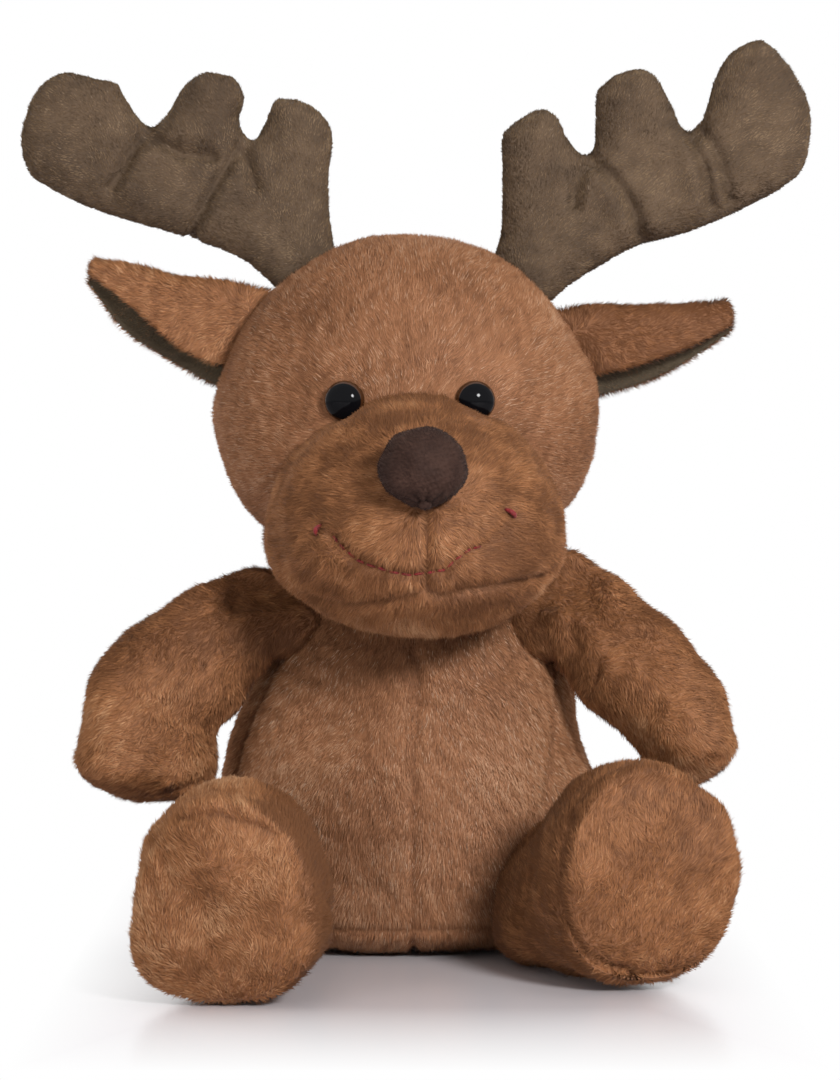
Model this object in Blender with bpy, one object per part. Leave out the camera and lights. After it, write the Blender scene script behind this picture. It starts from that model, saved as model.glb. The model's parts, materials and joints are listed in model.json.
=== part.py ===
"""A sitting plush deer, sewn from fur panels over fibre filling.

The origin is on the floor under the middle of the seat. +Z is up, the deer looks along -Y, and left and
right are the viewer's, so left is -X. Every length below is a real size in metres.
"""

import math

import bmesh
import bpy
import numpy as np
from mathutils import Matrix, Vector
from mathutils.bvhtree import BVHTree
from mathutils.geometry import delaunay_2d_cdt

MM = 0.001

# Cloth and clearances
FUR_CLOTH = 2.0 * MM
NAP_CLOTH = 1.4 * MM
SEAM_GAP = 0.3 * MM
FILL_GAP = 1.3 * MM
ROOT_SLACK = 0.2 * MM
OVERRUN = 4 * MM
CUT_SIZE = 500 * MM

# Body
BODY_HEIGHT = 118 * MM
BODY_HALF_WIDTH = 62.5 * MM
BODY_FRONT = 52 * MM
BODY_BACK = 53 * MM
BASE_SEAM_HEIGHT = 9.6 * MM
SIDE_SEAM_FORWARD = 9 * MM
# Height, half-width, reach to the front and reach to the back
BODY_SHARES = (
    (0.000, 0.73, 0.68, 0.74),
    (0.034, 0.86, 0.84, 0.88),
    (0.136, 0.97, 0.96, 0.98),
    (0.305, 1.00, 1.00, 1.00),
    (0.508, 0.935, 0.945, 0.95),
    (0.695, 0.815, 0.85, 0.85),
    (0.847, 0.695, 0.75, 0.74),
    (0.949, 0.585, 0.665, 0.655),
)
TOP_SHARE = 0.7
BODY_RING_SHARES = (0.0, 0.034, 0.1, 0.22, 0.4, 0.6, 0.8, 0.92, 1.0)

# Bag of pellets in the seat
POUCH_HALF_WIDTH = 30 * MM
POUCH_HALF_DEPTH = 27 * MM
POUCH_HEIGHT = 18 * MM
POUCH_BACK = 8 * MM
# Height and girth
POUCH_SHARES = ((0.0, 1.0), (0.45, 0.97), (0.8, 0.72), (1.0, 0.3))

# Neck
NECK_RADIUS = 33 * MM
NECK_DROP = 6 * MM
HEAD_NOD_DEG = 6
HEAD_TURN_DEG = 12

# Head
HEAD_HALF_WIDTH = 60.3 * MM
HEAD_FRONT = 52 * MM
HEAD_BACK = 50 * MM
HEAD_UP = 52.5 * MM
HEAD_DOWN = 54 * MM
HEAD_RISE = 50 * MM
HEAD_LEAN = -2.3 * MM
HEAD_FORWARD = 2 * MM
HEAD_TAPER_SHARE = 0.1
HEAD_SEAM_BACK = 2 * MM

# Muzzle
MUZZLE_HALF_WIDTH = 46 * MM
MUZZLE_UP = 47.5 * MM
MUZZLE_DOWN = 28 * MM
MUZZLE_REACH = 72 * MM
MUZZLE_FORWARD = 31 * MM
MUZZLE_DROP = 44 * MM
MUZZLE_LEAN = 2.3 * MM
MUZZLE_TIP_SHIFT = 3 * MM
MUZZLE_SEAM_SHIFT = 3 * MM
CHIN_SEAM_DROP = 13.5 * MM
# How far the underside hangs, from the back of the muzzle to its tip
MUZZLE_HANG_SHARES = ((0.0, 0.45), (0.25, 0.85), (0.55, 1.05), (1.0, 1.0))
MUZZLE_SQUARENESS = 2.4

# Nose
NOSE_HALF_WIDTH = 12.6 * MM
NOSE_HALF_HEIGHT = 11.3 * MM
NOSE_HALF_DEPTH = 11 * MM
NOSE_SINK = 3 * MM
NOSE_SIDE = 2.8 * MM
NOSE_RISE = 24.5 * MM

# Eyes
EYE_RADIUS = 6 * MM
EYE_BULGE = 4.2 * MM
EYE_STEM_RADIUS = 1.6 * MM
EYE_STEM_LENGTH = 10 * MM
WASHER_RADIUS = 5.6 * MM
WASHER_THICKNESS = 1.2 * MM
WASHER_SETBACK = 3 * MM
EYE_SPACING = 41.6 * MM
EYE_DROP = 0.6 * MM
EYE_SHIFT = 1.3 * MM

# Smile
THREAD_RADIUS = 0.5 * MM
# Places across the muzzle's half-width and along its height, from the left end stitch to the right
SMILE_SHARES = (
    (-0.59, 0.21), (-0.61, 0.13), (-0.52, 0.12), (-0.49, 0.04), (-0.44, -0.02), (-0.36, -0.06), (-0.27, -0.08),
    (-0.15, -0.11), (-0.03, -0.13), (0.06, -0.12), (0.18, -0.10), (0.27, -0.05), (0.36, 0.02), (0.44, 0.08),
    (0.51, 0.14), (0.60, 0.24), (0.65, 0.20),
)
SMILE_STEPS = 26

# Arms
ARM_ROOT_RADIUS = 13.2 * MM
ARM_HALF_WIDTH = 23 * MM
ARM_HALF_DEPTH = 17 * MM
ARM_FORWARD = 17 * MM
ARM_OUT = {"left": 45 * MM, "right": 42 * MM}
ARM_DOWN = {"left": 43 * MM, "right": 38 * MM}
SHOULDER_DROP = 17.5 * MM
SHOULDER_TURN_DEG = 26
ARM_LIFT_DEG = 30
# Outward, forward and downward places of the arm's middle line, from the shoulder to the paw
ARM_PATH_SHARES = ((0.0, 0.0, 0.0), (0.26, 0.17, -0.03), (0.63, 0.46, 0.17), (0.91, 0.77, 0.53), (1.0, 1.0, 1.0))
# Half-width and half-depth along the arm
ARM_WIDTH_SHARES = ((0.0, 0.61, 0.79), (0.25, 0.75, 0.87), (0.5, 0.88, 0.93), (0.75, 0.96, 1.0), (1.0, 1.0, 1.0))
ARM_PAW_SHARE = 0.66
ARM_SEAM_SHIFT = 1.3 * MM

# Legs
LEG_ROOT_RADIUS = 20 * MM
HIP_HEIGHT = 24 * MM
HIP_TURN_DEG = 38
LEG_REACH = {"left": 94 * MM, "right": 73 * MM}
LEG_SPLAY_DEG = {"left": 4, "right": 18}
FOOT_HALF_WIDTH = {"left": 27.8 * MM, "right": 28.6 * MM}
FOOT_HALF_HEIGHT = {"left": 32 * MM, "right": 33.5 * MM}
FOOT_RISE = {"left": 0.0, "right": 3.7 * MM}
FOOT_FLAT = 0.5 * MM
SOLE_BULGE = 7 * MM
CROWN_SQUARENESS = 2.3
# How much narrower a foot is at its top than at its middle
FOOT_TAPER_SHARE = {"left": 0.14, "right": 0.02}
# How much squarer a foot's underside is than an oval
FOOT_SQUARE_SHARE = 0.2
SOLE_LEAN_DEG = {"left": -16, "right": 3}
LEG_LIFT_DEG = 22
# Half the angle that a leg's flat underside takes, seen from its middle line
LEG_LYING_DEG = 14
# Half-width and half-height along the leg, from the hip to the rim of the sole
LEG_WIDTH_SHARES = ((0.0, 0.71, 0.61), (0.3, 0.76, 0.68), (0.6, 0.92, 0.89), (0.85, 1.0, 1.0), (1.0, 0.97, 0.95))
# How fully the leg's underside lies on the floor
LEG_LYING_SHARES = ((0.0, 0.0), (0.3, 0.5), (0.6, 1.0), (1.0, 1.0))

# Ears
EAR_LENGTH = 55 * MM
EAR_HALF_DEPTH = 8 * MM
EAR_THICKNESS = 3.7 * MM
EAR_FLAP_DEG = 15
EAR_AXIS_PROUD = 1.5 * MM
# Along the ear: its top edge, its front edge and its back edge, each as outward and upward places
EAR_SHARES = {
    "left": (
        (0.00, -0.20, 0.15, 0.00, -0.27, 0.05, -0.42),
        (0.25, 0.12, 0.225, 0.20, -0.235, 0.27, -0.32),
        (0.50, 0.40, 0.255, 0.41, -0.125, 0.50, -0.185),
        (0.75, 0.65, 0.32, 0.645, 0.08, 0.70, -0.05),
        (1.00, 0.84, 0.345, 0.86, 0.245, 0.885, 0.19),
    ),
    "right": (
        (0.00, -0.20, 0.13, -0.02, -0.22, -0.02, -0.37),
        (0.25, 0.10, 0.18, 0.20, -0.195, 0.20, -0.315),
        (0.50, 0.37, 0.178, 0.42, -0.14, 0.45, -0.235),
        (0.75, 0.62, 0.185, 0.645, -0.055, 0.68, -0.11),
        (1.00, 0.84, 0.205, 0.86, 0.05, 0.865, 0.02),
    ),
}
EAR_DEPTH_SHARES = ((0.0, 0.7), (0.3, 0.95), (0.6, 1.0), (1.0, 0.7))
EAR_ROOT_DEG = {"left": 27, "right": 21}

# Antlers
ANTLER_REACH = 89.5 * MM
ANTLER_HALF_THICKNESS = 8.5 * MM
ANTLER_EDGE = 11 * MM
ANTLER_FLEX_DEG = 12
ANTLER_AXIS_PROUD = 4 * MM
ANTLER_ROOT_DEG = {"left": 53, "right": 47}
ANTLER_MESH = 14 * MM
ANTLER_BAND = 3.2 * MM
ANTLER_SINK = 1.5 * MM
ANTLER_FILL_GAP = 1.6 * MM
SHARPEST_CORNER_SHARE = 0.6
# Outward and upward places round the antler, from the inner end of its root over the tines to the outer end
ANTLER_SHARES = {
    "left": (
        (-0.135, 0.02), (-0.107, 0.07), (-0.09, 0.19), (-0.087, 0.305), (-0.10, 0.453), (-0.06, 0.533),
        (0.01, 0.578), (0.066, 0.588), (0.114, 0.578), (0.15, 0.5), (0.185, 0.447), (0.222, 0.5),
        (0.205, 0.585), (0.242, 0.657), (0.298, 0.673), (0.353, 0.678), (0.426, 0.63), (0.495, 0.522),
        (0.55, 0.497), (0.619, 0.588), (0.65, 0.64), (0.734, 0.659), (0.844, 0.678), (0.941, 0.606),
        (0.993, 0.453), (0.968, 0.325), (0.893, 0.265), (0.775, 0.206), (0.654, 0.162), (0.495, 0.117),
        (0.394, 0.086), (0.298, 0.052), (0.205, 0.005), (0.11, -0.08), (0.06, -0.13),
    ),
    "right": (
        (-0.13, 0.03), (-0.097, 0.083), (-0.073, 0.163), (-0.069, 0.287), (-0.069, 0.405), (-0.066, 0.498),
        (0.0, 0.561), (0.073, 0.592), (0.131, 0.567), (0.17, 0.491), (0.218, 0.44), (0.25, 0.467),
        (0.256, 0.633), (0.284, 0.675), (0.336, 0.713), (0.45, 0.73), (0.481, 0.716), (0.536, 0.592),
        (0.574, 0.525), (0.619, 0.547), (0.64, 0.599), (0.661, 0.675), (0.696, 0.751), (0.751, 0.803),
        (0.837, 0.83), (0.92, 0.761), (0.972, 0.682), (1.01, 0.592), (1.01, 0.465), (0.97, 0.352),
        (0.815, 0.252), (0.602, 0.158), (0.436, 0.112), (0.36, 0.08), (0.26, 0.022), (0.178, -0.03),
        (0.1, -0.1), (0.06, -0.15),
    ),
}

# Fineness of the meshes
BODY_SIDES = 20
HEAD_SIDES = 20
HEAD_RINGS = 10
MUZZLE_SIDES = 18
MUZZLE_RINGS = 7
LIMB_SIDES = 12
BALL_SIDES = 12
BALL_STEPS = 3
THREAD_SIDES = 6
LIMB_STEPS = 5
EAR_STEPS = 5

# Colours, as linear red, green and blue
FUR_COLOR = (0.27, 0.125, 0.055, 1)
NAP_COLOR = (0.155, 0.105, 0.062, 1)
LINING_COLOR = (0.075, 0.05, 0.03, 1)
NOSE_COLOR = (0.035, 0.018, 0.012, 1)
EYE_COLOR = (0.004, 0.004, 0.004, 1)
THREAD_COLOR = (0.12, 0.014, 0.012, 1)
FIBRE_COLOR = (0.8, 0.79, 0.76, 1)
COTTON_COLOR = (0.6, 0.56, 0.47, 1)
WASHER_COLOR = (0.75, 0.75, 0.73, 1)

SIDES = {"left": -1, "right": 1}


def clear_scene():
    for thing in list(bpy.data.objects):
        bpy.data.objects.remove(thing, do_unlink=True)


def make_material(name, color, roughness, sheen=0.0):
    material = bpy.data.materials.new(name)
    material.use_nodes = True
    shader = material.node_tree.nodes["Principled BSDF"]
    shader.inputs["Base Color"].default_value = color
    shader.inputs["Roughness"].default_value = roughness
    shader.inputs["Metallic"].default_value = 0.0
    shader.inputs["Sheen Weight"].default_value = sheen
    material.diffuse_color = color
    return material


def through(rows, at):
    """The values at one place on a smooth curve through rows of a place and its values."""
    rows = np.array(rows, float)
    places, values = rows[:, 0], rows[:, 1:]
    slopes = np.gradient(values, places, axis=0)
    i = int(np.clip(np.searchsorted(places, at, side="right") - 1, 0, len(places) - 2))
    span = places[i + 1] - places[i]
    t = min(max((at - places[i]) / span, 0.0), 1.0)
    met = (
        (1 + 2 * t) * (1 - t) ** 2 * values[i]
        + t * (1 - t) ** 2 * span * slopes[i]
        + t * t * (3 - 2 * t) * values[i + 1]
        + t * t * (t - 1) * span * slopes[i + 1]
    )
    return [float(v) for v in met]


# Meshes


def mesh_from(name, points, faces):
    shape = bmesh.new()
    corners = [shape.verts.new(p) for p in points]
    for face in faces:
        shape.faces.new([corners[i] for i in face])
    bmesh.ops.recalc_face_normals(shape, faces=shape.faces)
    mesh = bpy.data.meshes.new(name)
    shape.to_mesh(mesh)
    shape.free()
    mesh.shade_smooth()
    return mesh


def lofted(name, rings):
    """A closed mesh over rings of points. A ring of one point is a tip, and any other end is capped flat."""
    points, starts = [], []
    for ring in rings:
        starts.append(len(points))
        points.extend(ring)
    faces = []
    for low, high, below, above in zip(starts, starts[1:], rings, rings[1:]):
        count = max(len(below), len(above))
        for i in range(count):
            j = (i + 1) % count
            if len(below) == 1:
                faces.append((low, high + j, high + i))
            elif len(above) == 1:
                faces.append((low + i, low + j, high))
            else:
                faces.append((low + i, low + j, high + j, high + i))
    for start, ring in ((starts[0], rings[0]), (starts[-1], rings[-1])):
        if len(ring) > 1:
            faces.append(tuple(range(start, start + len(ring))))
    return mesh_from(name, points, faces)


def add_piece(name, mesh, material, joint=None):
    """A named piece. One that moves takes its joint's place as its own origin."""
    mesh.name = name
    mesh.materials.clear()
    mesh.materials.append(material)
    piece = bpy.data.objects.new(name, mesh)
    bpy.context.collection.objects.link(piece)
    if joint:
        mesh.transform(Matrix.Translation(-joint.matrix_world.translation))
        piece.parent = joint
    return piece


def add_cutter(name, mesh):
    cutter = bpy.data.objects.new(name, mesh)
    bpy.context.collection.objects.link(cutter)
    cutter.display_type = "WIRE"
    cutter.hide_render = True
    return cutter


def cut(piece, *cutters):
    """Takes the cutters away from the piece."""
    for cutter in cutters:
        step = piece.modifiers.new(cutter.name, "BOOLEAN")
        step.operation = "DIFFERENCE"
        step.solver = "EXACT"
        step.object = cutter
    return piece


def about(place, axis, degrees):
    """A turn about an axis through a place."""
    return Matrix.Translation(place) @ Matrix.Rotation(math.radians(degrees), 4, axis) @ Matrix.Translation(-place)


def swept(name, mesh, moves, *hollows):
    """One cutter round a form at every mix of moves, each a place, an axis and the degrees turned there."""
    poses = [Matrix.Identity(4)]
    for place, axis, turned in moves:
        poses = [about(place, axis, degrees) @ pose for degrees in turned for pose in poses]
    shape = bmesh.new()
    for pose in poses:
        for vertex in mesh.vertices:
            shape.verts.new(pose @ vertex.co)
    found = bmesh.ops.convex_hull(shape, input=shape.verts)
    unused = {v for v in found["geom_interior"] if isinstance(v, bmesh.types.BMVert)}
    bmesh.ops.delete(shape, geom=list(unused), context="VERTS")
    bmesh.ops.recalc_face_normals(shape, faces=shape.faces)
    hull = bpy.data.meshes.new(name)
    shape.to_mesh(hull)
    shape.free()
    return cut(add_cutter(name, hull), *hollows)


def beyond(name, point, normal):
    """A cutter that takes away everything on the normal's side of a plane."""
    shape = bmesh.new()
    bmesh.ops.create_cube(shape, size=CUT_SIZE)
    mesh = bpy.data.meshes.new(name)
    shape.to_mesh(mesh)
    shape.free()
    normal = Vector(normal).normalized()
    mesh.transform(Matrix.Translation(Vector((0, 0, CUT_SIZE / 2))))
    mesh.transform(normal.to_track_quat("Z", "Y").to_matrix().to_4x4())
    mesh.transform(Matrix.Translation(Vector(point)))
    return add_cutter(name, mesh)


def seam(name, point, normal):
    """The two cutters that part a form along a plane and leave the seam's gap: first the near side's."""
    normal = Vector(normal).normalized()
    half = normal * SEAM_GAP / 2
    return (
        beyond(f"{name}_near", Vector(point) - half, normal),
        beyond(f"{name}_far", Vector(point) + half, -normal),
    )


def ball_rings(centre, radii, sides=BALL_SIDES):
    """Rings of an upright ball or ellipsoid."""
    rings = []
    steps = sides // 2
    for i in range(steps + 1):
        tilt = math.pi * i / steps - math.pi / 2
        middle = centre + Vector((0, 0, radii[2] * math.sin(tilt)))
        if i in (0, steps):
            rings.append([middle])
            continue
        across, along = radii[0] * math.cos(tilt), radii[1] * math.cos(tilt)
        rings.append([middle + Vector((across * math.cos(a), along * math.sin(a), 0)) for a in turns(sides)])
    return rings


def turns(sides):
    return [2 * math.pi * i / sides for i in range(sides)]


def round_about(radius, sides=BALL_SIDES):
    """The radius of a many-sided ball that lies wholly outside a true ball."""
    return radius / math.cos(math.pi / sides) ** 2


def round_rings(place, axis, profile, sides=BALL_SIDES):
    """Rings about an axis from a profile of distances along it and radii."""
    frame = Vector(axis).normalized().to_track_quat("Z", "Y").to_matrix()
    rings = []
    for along, radius in profile:
        middle = place + frame @ Vector((0, 0, along))
        if radius == 0:
            rings.append([middle])
            continue
        rings.append([
            middle + frame @ Vector((radius * math.cos(a), radius * math.sin(a), 0)) for a in turns(sides)
        ])
    return rings


def hit(mesh, start, toward):
    """Where a ray meets a mesh, and the surface's direction there."""
    shape = bmesh.new()
    shape.from_mesh(mesh)
    tree = BVHTree.FromBMesh(shape)
    place, normal, _, _ = tree.ray_cast(Vector(start), Vector(toward).normalized())
    shape.free()
    return place, normal


# Forms


def body_ring(height, inset):
    """One ring of the body's form, drawn in by inset."""
    neck = math.sqrt(NECK_RADIUS**2 - NECK_DROP**2)
    top = (1.0, neck / BODY_HALF_WIDTH, neck / BODY_FRONT, neck / BODY_BACK)
    width, front, back = through(BODY_SHARES + (top,), height / BODY_HEIGHT)
    half = width * BODY_HALF_WIDTH - inset
    reach = {-1: front * BODY_FRONT - inset, 1: back * BODY_BACK - inset}
    ring = []
    for angle in turns(BODY_SIDES):
        across, along = math.cos(angle), math.sin(angle)
        ring.append(Vector((half * across, reach[1 if along > 0 else -1] * along, 0)))
    return ring


def body_rings(inset=0.0, top=BODY_HEIGHT):
    """The body from the seat to its top, which is the neck's plane or lies an overrun above it."""
    rings = []
    for share in BODY_RING_SHARES:
        height = share * BODY_HEIGHT
        at = min(max(height, inset), top)
        rings.append([p + Vector((0, 0, at)) for p in body_ring(height, inset)])
    if top > BODY_HEIGHT:
        rings.append([p + Vector((0, 0, top)) for p in body_ring(BODY_HEIGHT, inset)])
    return rings


HEAD_CENTRE = Vector((HEAD_LEAN, -HEAD_FORWARD, BODY_HEIGHT + HEAD_RISE))
NECK_CENTRE = Vector((0, 0, BODY_HEIGHT - NECK_DROP))


def head_rings(inset=0.0):
    """The head, an egg that is broader below."""
    rings = []
    for i in range(HEAD_RINGS + 1):
        tilt = math.pi * i / HEAD_RINGS - math.pi / 2
        rise = (HEAD_UP if tilt > 0 else HEAD_DOWN) - inset
        middle = HEAD_CENTRE + Vector((0, 0, rise * math.sin(tilt)))
        if i in (0, HEAD_RINGS):
            rings.append([middle])
            continue
        girth = math.cos(tilt) * (1 - HEAD_TAPER_SHARE * math.sin(tilt))
        ring = []
        for angle in turns(HEAD_SIDES):
            across, along = math.cos(angle), math.sin(angle)
            reach = (HEAD_BACK if along > 0 else HEAD_FRONT) - inset
            ring.append(middle + girth * Vector(((HEAD_HALF_WIDTH - inset) * across, reach * along, 0)))
        rings.append(ring)
    return rings


MUZZLE_ROOT = HEAD_CENTRE + Vector((MUZZLE_LEAN, -MUZZLE_FORWARD, -MUZZLE_DROP))


def muzzle_rings(inset=0.0):
    """The muzzle from inside the head to its tip, with a full underlip and a high bridge."""
    rings = []
    reach = MUZZLE_REACH - inset
    for i in range(MUZZLE_RINGS + 1):
        out = math.sin(math.pi / 2 * i / MUZZLE_RINGS)
        middle = MUZZLE_ROOT + Vector((MUZZLE_TIP_SHIFT * out, -reach * out, 0))
        if i == MUZZLE_RINGS:
            rings.append([middle])
            continue
        girth = math.sqrt(1 - out**MUZZLE_SQUARENESS)
        hang = through(MUZZLE_HANG_SHARES, out)[0]
        ring = []
        for angle in turns(MUZZLE_SIDES):
            across, up = math.cos(angle), math.sin(angle)
            tall = MUZZLE_UP - inset if up > 0 else MUZZLE_DOWN * hang - inset
            ring.append(middle + girth * Vector(((MUZZLE_HALF_WIDTH - inset) * across, 0, tall * up)))
        rings.append(ring)
    return rings


def limb_rings(path, sizes, root_radius, crown, taper, inset=0.0):
    """A limb from a ball at the first point of its path to a domed end: rings square to the path.

    sizes holds a half-height and a half-width for each point of the path, crown is how far the end swells
    out, and taper narrows the limb's top.
    """
    first = (path[1] - path[0]).normalized()
    last = (path[-1] - path[-2]).normalized()
    radius = root_radius - inset
    stations = [(path[0] - first * radius, None)]
    for degrees in (60, 30):
        lean = math.radians(degrees)
        girth = radius * math.cos(lean)
        stations.append((path[0] - first * radius * math.sin(lean), (girth, girth)))
    stations.append((path[0], (radius, radius)))
    stations += [(place, (a - inset, b - inset)) for place, (a, b) in zip(path[1:], sizes[1:])]
    tall, wide = stations[-1][1]
    for share in (0.4, 0.75, 0.94):
        round_off = (1 - share**CROWN_SQUARENESS) ** 0.5
        stations.append((path[-1] + last * (crown - inset) * share, (tall * round_off, wide * round_off)))
    stations.append((path[-1] + last * (crown - inset), None))
    rings = []
    for i, (centre, girth) in enumerate(stations):
        if girth is None:
            rings.append([centre])
            continue
        along = (stations[i + 1][0] - stations[i - 1][0]).normalized()
        across = along.cross(Vector((0, 0, 1))).normalized()
        upward = across.cross(along).normalized()
        progress = min(max(i - 3, 0) / len(path), 1)
        ring = []
        angles = turns(LIMB_SIDES)
        if taper:
            bottom = angles.index(math.pi)
            lying = math.radians(LEG_LYING_DEG)
            angles[bottom:bottom + 1] = [math.pi - lying, math.pi + lying]
        for angle in angles:
            up, out = math.cos(angle), math.sin(angle)
            if taper and up < 0:
                power = 1 - FOOT_SQUARE_SHARE * progress
                up, out = -((-up) ** power), math.copysign(abs(out) ** power, out)
                if abs(angle - math.pi) < math.radians(LEG_LYING_DEG) * 1.01:
                    up += (-1 - up) * min(2 * progress, 1)
            ring.append(centre + girth[0] * up * upward + girth[1] * out * (1 - taper * progress * up) * across)
        rings.append(ring)
    return rings


def arm_line(side, shoulder):
    """The arm's middle line, with a half-width and a half-depth at each point."""
    points, sizes = [], []
    rows = [(i / (len(ARM_PATH_SHARES) - 1),) + row for i, row in enumerate(ARM_PATH_SHARES)]
    for i in range(LIMB_STEPS + 1):
        at = i / LIMB_STEPS
        out, forward, down = through(rows, at)
        step = (SIDES[side] * out * ARM_OUT[side], -forward * ARM_FORWARD, -down * ARM_DOWN[side])
        points.append(shoulder + Vector(step))
        wide, deep = through(ARM_WIDTH_SHARES, at)
        sizes.append((wide * ARM_HALF_WIDTH, deep * ARM_HALF_DEPTH))
    return points, sizes


def sole_plane(side, hip):
    """The middle of the sole's rim and the direction in which the sole looks."""
    splay = math.radians(LEG_SPLAY_DEG[side])
    ahead = Vector((SIDES[side] * math.sin(splay), -math.cos(splay), 0))
    middle = hip + ahead * LEG_REACH[side]
    middle.z = LEG_WIDTH_SHARES[-1][2] * FOOT_HALF_HEIGHT[side] - FOOT_FLAT + FOOT_RISE[side]
    return middle, ahead


def leg_line(side, hip):
    """The leg's middle line from the hip to the rim of the sole, with half-heights and half-widths."""
    middle, _ = sole_plane(side, hip)
    points, sizes, downs = [], [], []
    for i in range(LIMB_STEPS + 1):
        at = i / LIMB_STEPS
        wide, tall = through(LEG_WIDTH_SHARES, at)
        sizes.append((tall * FOOT_HALF_HEIGHT[side], wide * FOOT_HALF_WIDTH[side]))
        lying = through(LEG_LYING_SHARES, at)[0]
        place = hip.lerp(middle, at)
        place.z = hip.z + (tall * FOOT_HALF_HEIGHT[side] - FOOT_FLAT - hip.z) * lying
        points.append(place)
        downs.append(lying)
    points[-1] = middle
    slopes = [(after - before).normalized().z for before, after in zip(points, points[2:])]
    for place, (tall, _), lying, slope in zip(points[1:-1], sizes[1:-1], downs[1:-1], slopes):
        place.z -= tall * lying * (1 - math.sqrt(1 - slope * slope))
    return points, sizes


def puffed(name, outline, edge, thickness, spacing, band):
    """A flat outline in the XZ plane blown up like a small cushion, thin at its edge."""
    outline = np.array(outline)
    after = np.roll(outline, -1, axis=0)
    inner = [p for p in inset_outline(outline, band) if distance_to(outline, after, p) > band * 0.8]
    low, high = outline.min(0), outline.max(0)
    across = np.arange(low[0] + spacing / 2, high[0], spacing)
    up = np.arange(low[1] + spacing / 2, high[1], spacing * math.sqrt(3) / 2)
    grid = [(x + spacing / 2 * (j % 2), z) for j, z in enumerate(up) for x in across]
    deep = [p for p in grid if inside(outline, p) and distance_to(outline, after, p) > band + spacing * 0.45]
    points = [tuple(p) for p in outline] + [tuple(p) for p in inner] + deep
    count = len(outline)
    rim = [(i, (i + 1) % count) for i in range(count)]
    found, _, faces, _, _, _ = delaunay_2d_cdt([Vector(p) for p in points], rim, [], 1, 0)
    on_rim = [distance_to(outline, after, p) < band / 8 for p in found]
    flat = [face for face in faces if all(on_rim[i] for i in face)]
    points += [tuple(sum((found[i] for i in face), Vector((0, 0))) / 3) for face in flat]
    found, _, faces, _, _, _ = delaunay_2d_cdt([Vector(p) for p in points], rim, [], 1, 0)
    verts, back = [], {}
    for i, p in enumerate(found):
        away = min(distance_to(outline, after, p) / edge, 1.0)
        height = thickness * math.sqrt(max(1 - (1 - away) ** 2, 0)) if away * edge > band / 8 else 0
        verts.append(Vector((p[0], -height, p[1])))
        back[i] = i
    for i, vert in enumerate(list(verts)):
        if vert.y < 0:
            back[i] = len(verts)
            verts.append(Vector((vert.x, -vert.y, vert.z)))
    both = [tuple(f) for f in faces] + [tuple(back[i] for i in reversed(f)) for f in faces]
    return mesh_from(name, verts, both)


def inside(outline, point):
    """Whether a point lies inside an outline: an odd number of its sides pass over it."""
    x, z = point
    over = False
    for (x0, z0), (x1, z1) in zip(outline, np.roll(outline, -1, axis=0)):
        if (z0 > z) != (z1 > z) and x < (x1 - x0) * (z - z0) / (z1 - z0) + x0:
            over = not over
    return over


def distance_to(starts, ends, point):
    """How far a point is from the nearest side of an outline."""
    sides = ends - starts
    along = np.sum((np.array(point) - starts) * sides, axis=1) / np.sum(sides * sides, axis=1)
    nearest = starts + sides * np.clip(along, 0, 1)[:, None]
    return float(np.min(np.linalg.norm(nearest - np.array(point), axis=1)))


def inset_outline(outline, inset):
    """The outline drawn in by inset, corner by corner."""
    ahead = np.roll(outline, -1, axis=0) - outline
    turn = np.sum(outline[:, 0] * ahead[:, 1] - ahead[:, 0] * outline[:, 1])
    after = np.stack([-ahead[:, 1], ahead[:, 0]], 1) * np.sign(turn)
    after /= np.linalg.norm(after, axis=1)[:, None]
    middle = after + np.roll(after, 1, axis=0)
    middle /= np.linalg.norm(middle, axis=1)[:, None]
    lean = np.maximum(np.sum(middle * after, axis=1), SHARPEST_CORNER_SHARE)
    return outline + middle * (inset / lean)[:, None]


def antler_mesh(name, side, root, inset):
    """The antler's form, drawn in by inset, with its root reaching into the head."""
    points = [(SIDES[side] * out * ANTLER_REACH, up * ANTLER_REACH) for out, up in ANTLER_SHARES[side]]
    outline = np.array(points)
    if inset > 0:
        outline = inset_outline(outline, inset)
    mesh = puffed(name, outline, ANTLER_EDGE - inset, ANTLER_HALF_THICKNESS - inset, ANTLER_MESH, ANTLER_BAND)
    mesh.transform(Matrix.Translation(root))
    return mesh


def shrunk(mesh, inset):
    """The mesh drawn in by inset along the directions of its corners."""
    shape = bmesh.new()
    shape.from_mesh(mesh)
    shape.normal_update()
    for corner, normal in [(v, v.normal.copy()) for v in shape.verts]:
        corner.co -= normal * inset
    shape.to_mesh(mesh)
    shape.free()
    return mesh


def ear_sheet(side, root, inset):
    """Rows of points over the ear from root to tip, arched over its top edge and drawn in by inset."""
    rows = []
    for i in range(EAR_STEPS + 1):
        at = i / EAR_STEPS
        places = [EAR_LENGTH * share for share in through(EAR_SHARES[side], at)]
        top, front, back = (root + Vector((SIDES[side] * places[k], 0, places[k + 1])) for k in (0, 2, 4))
        depth = through(EAR_DEPTH_SHARES, at)[0] * EAR_HALF_DEPTH - inset
        top = top + ((front + back) / 2 - top).normalized() * inset
        row = []
        for j in range(EAR_STEPS + 1):
            swing = math.pi * j / EAR_STEPS - math.pi / 2
            edge = front if swing < 0 else back
            row.append(top.lerp(edge, 1 - math.cos(swing)) + Vector((0, depth * math.sin(swing), 0)))
        rows.append(row)
    return rows


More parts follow.
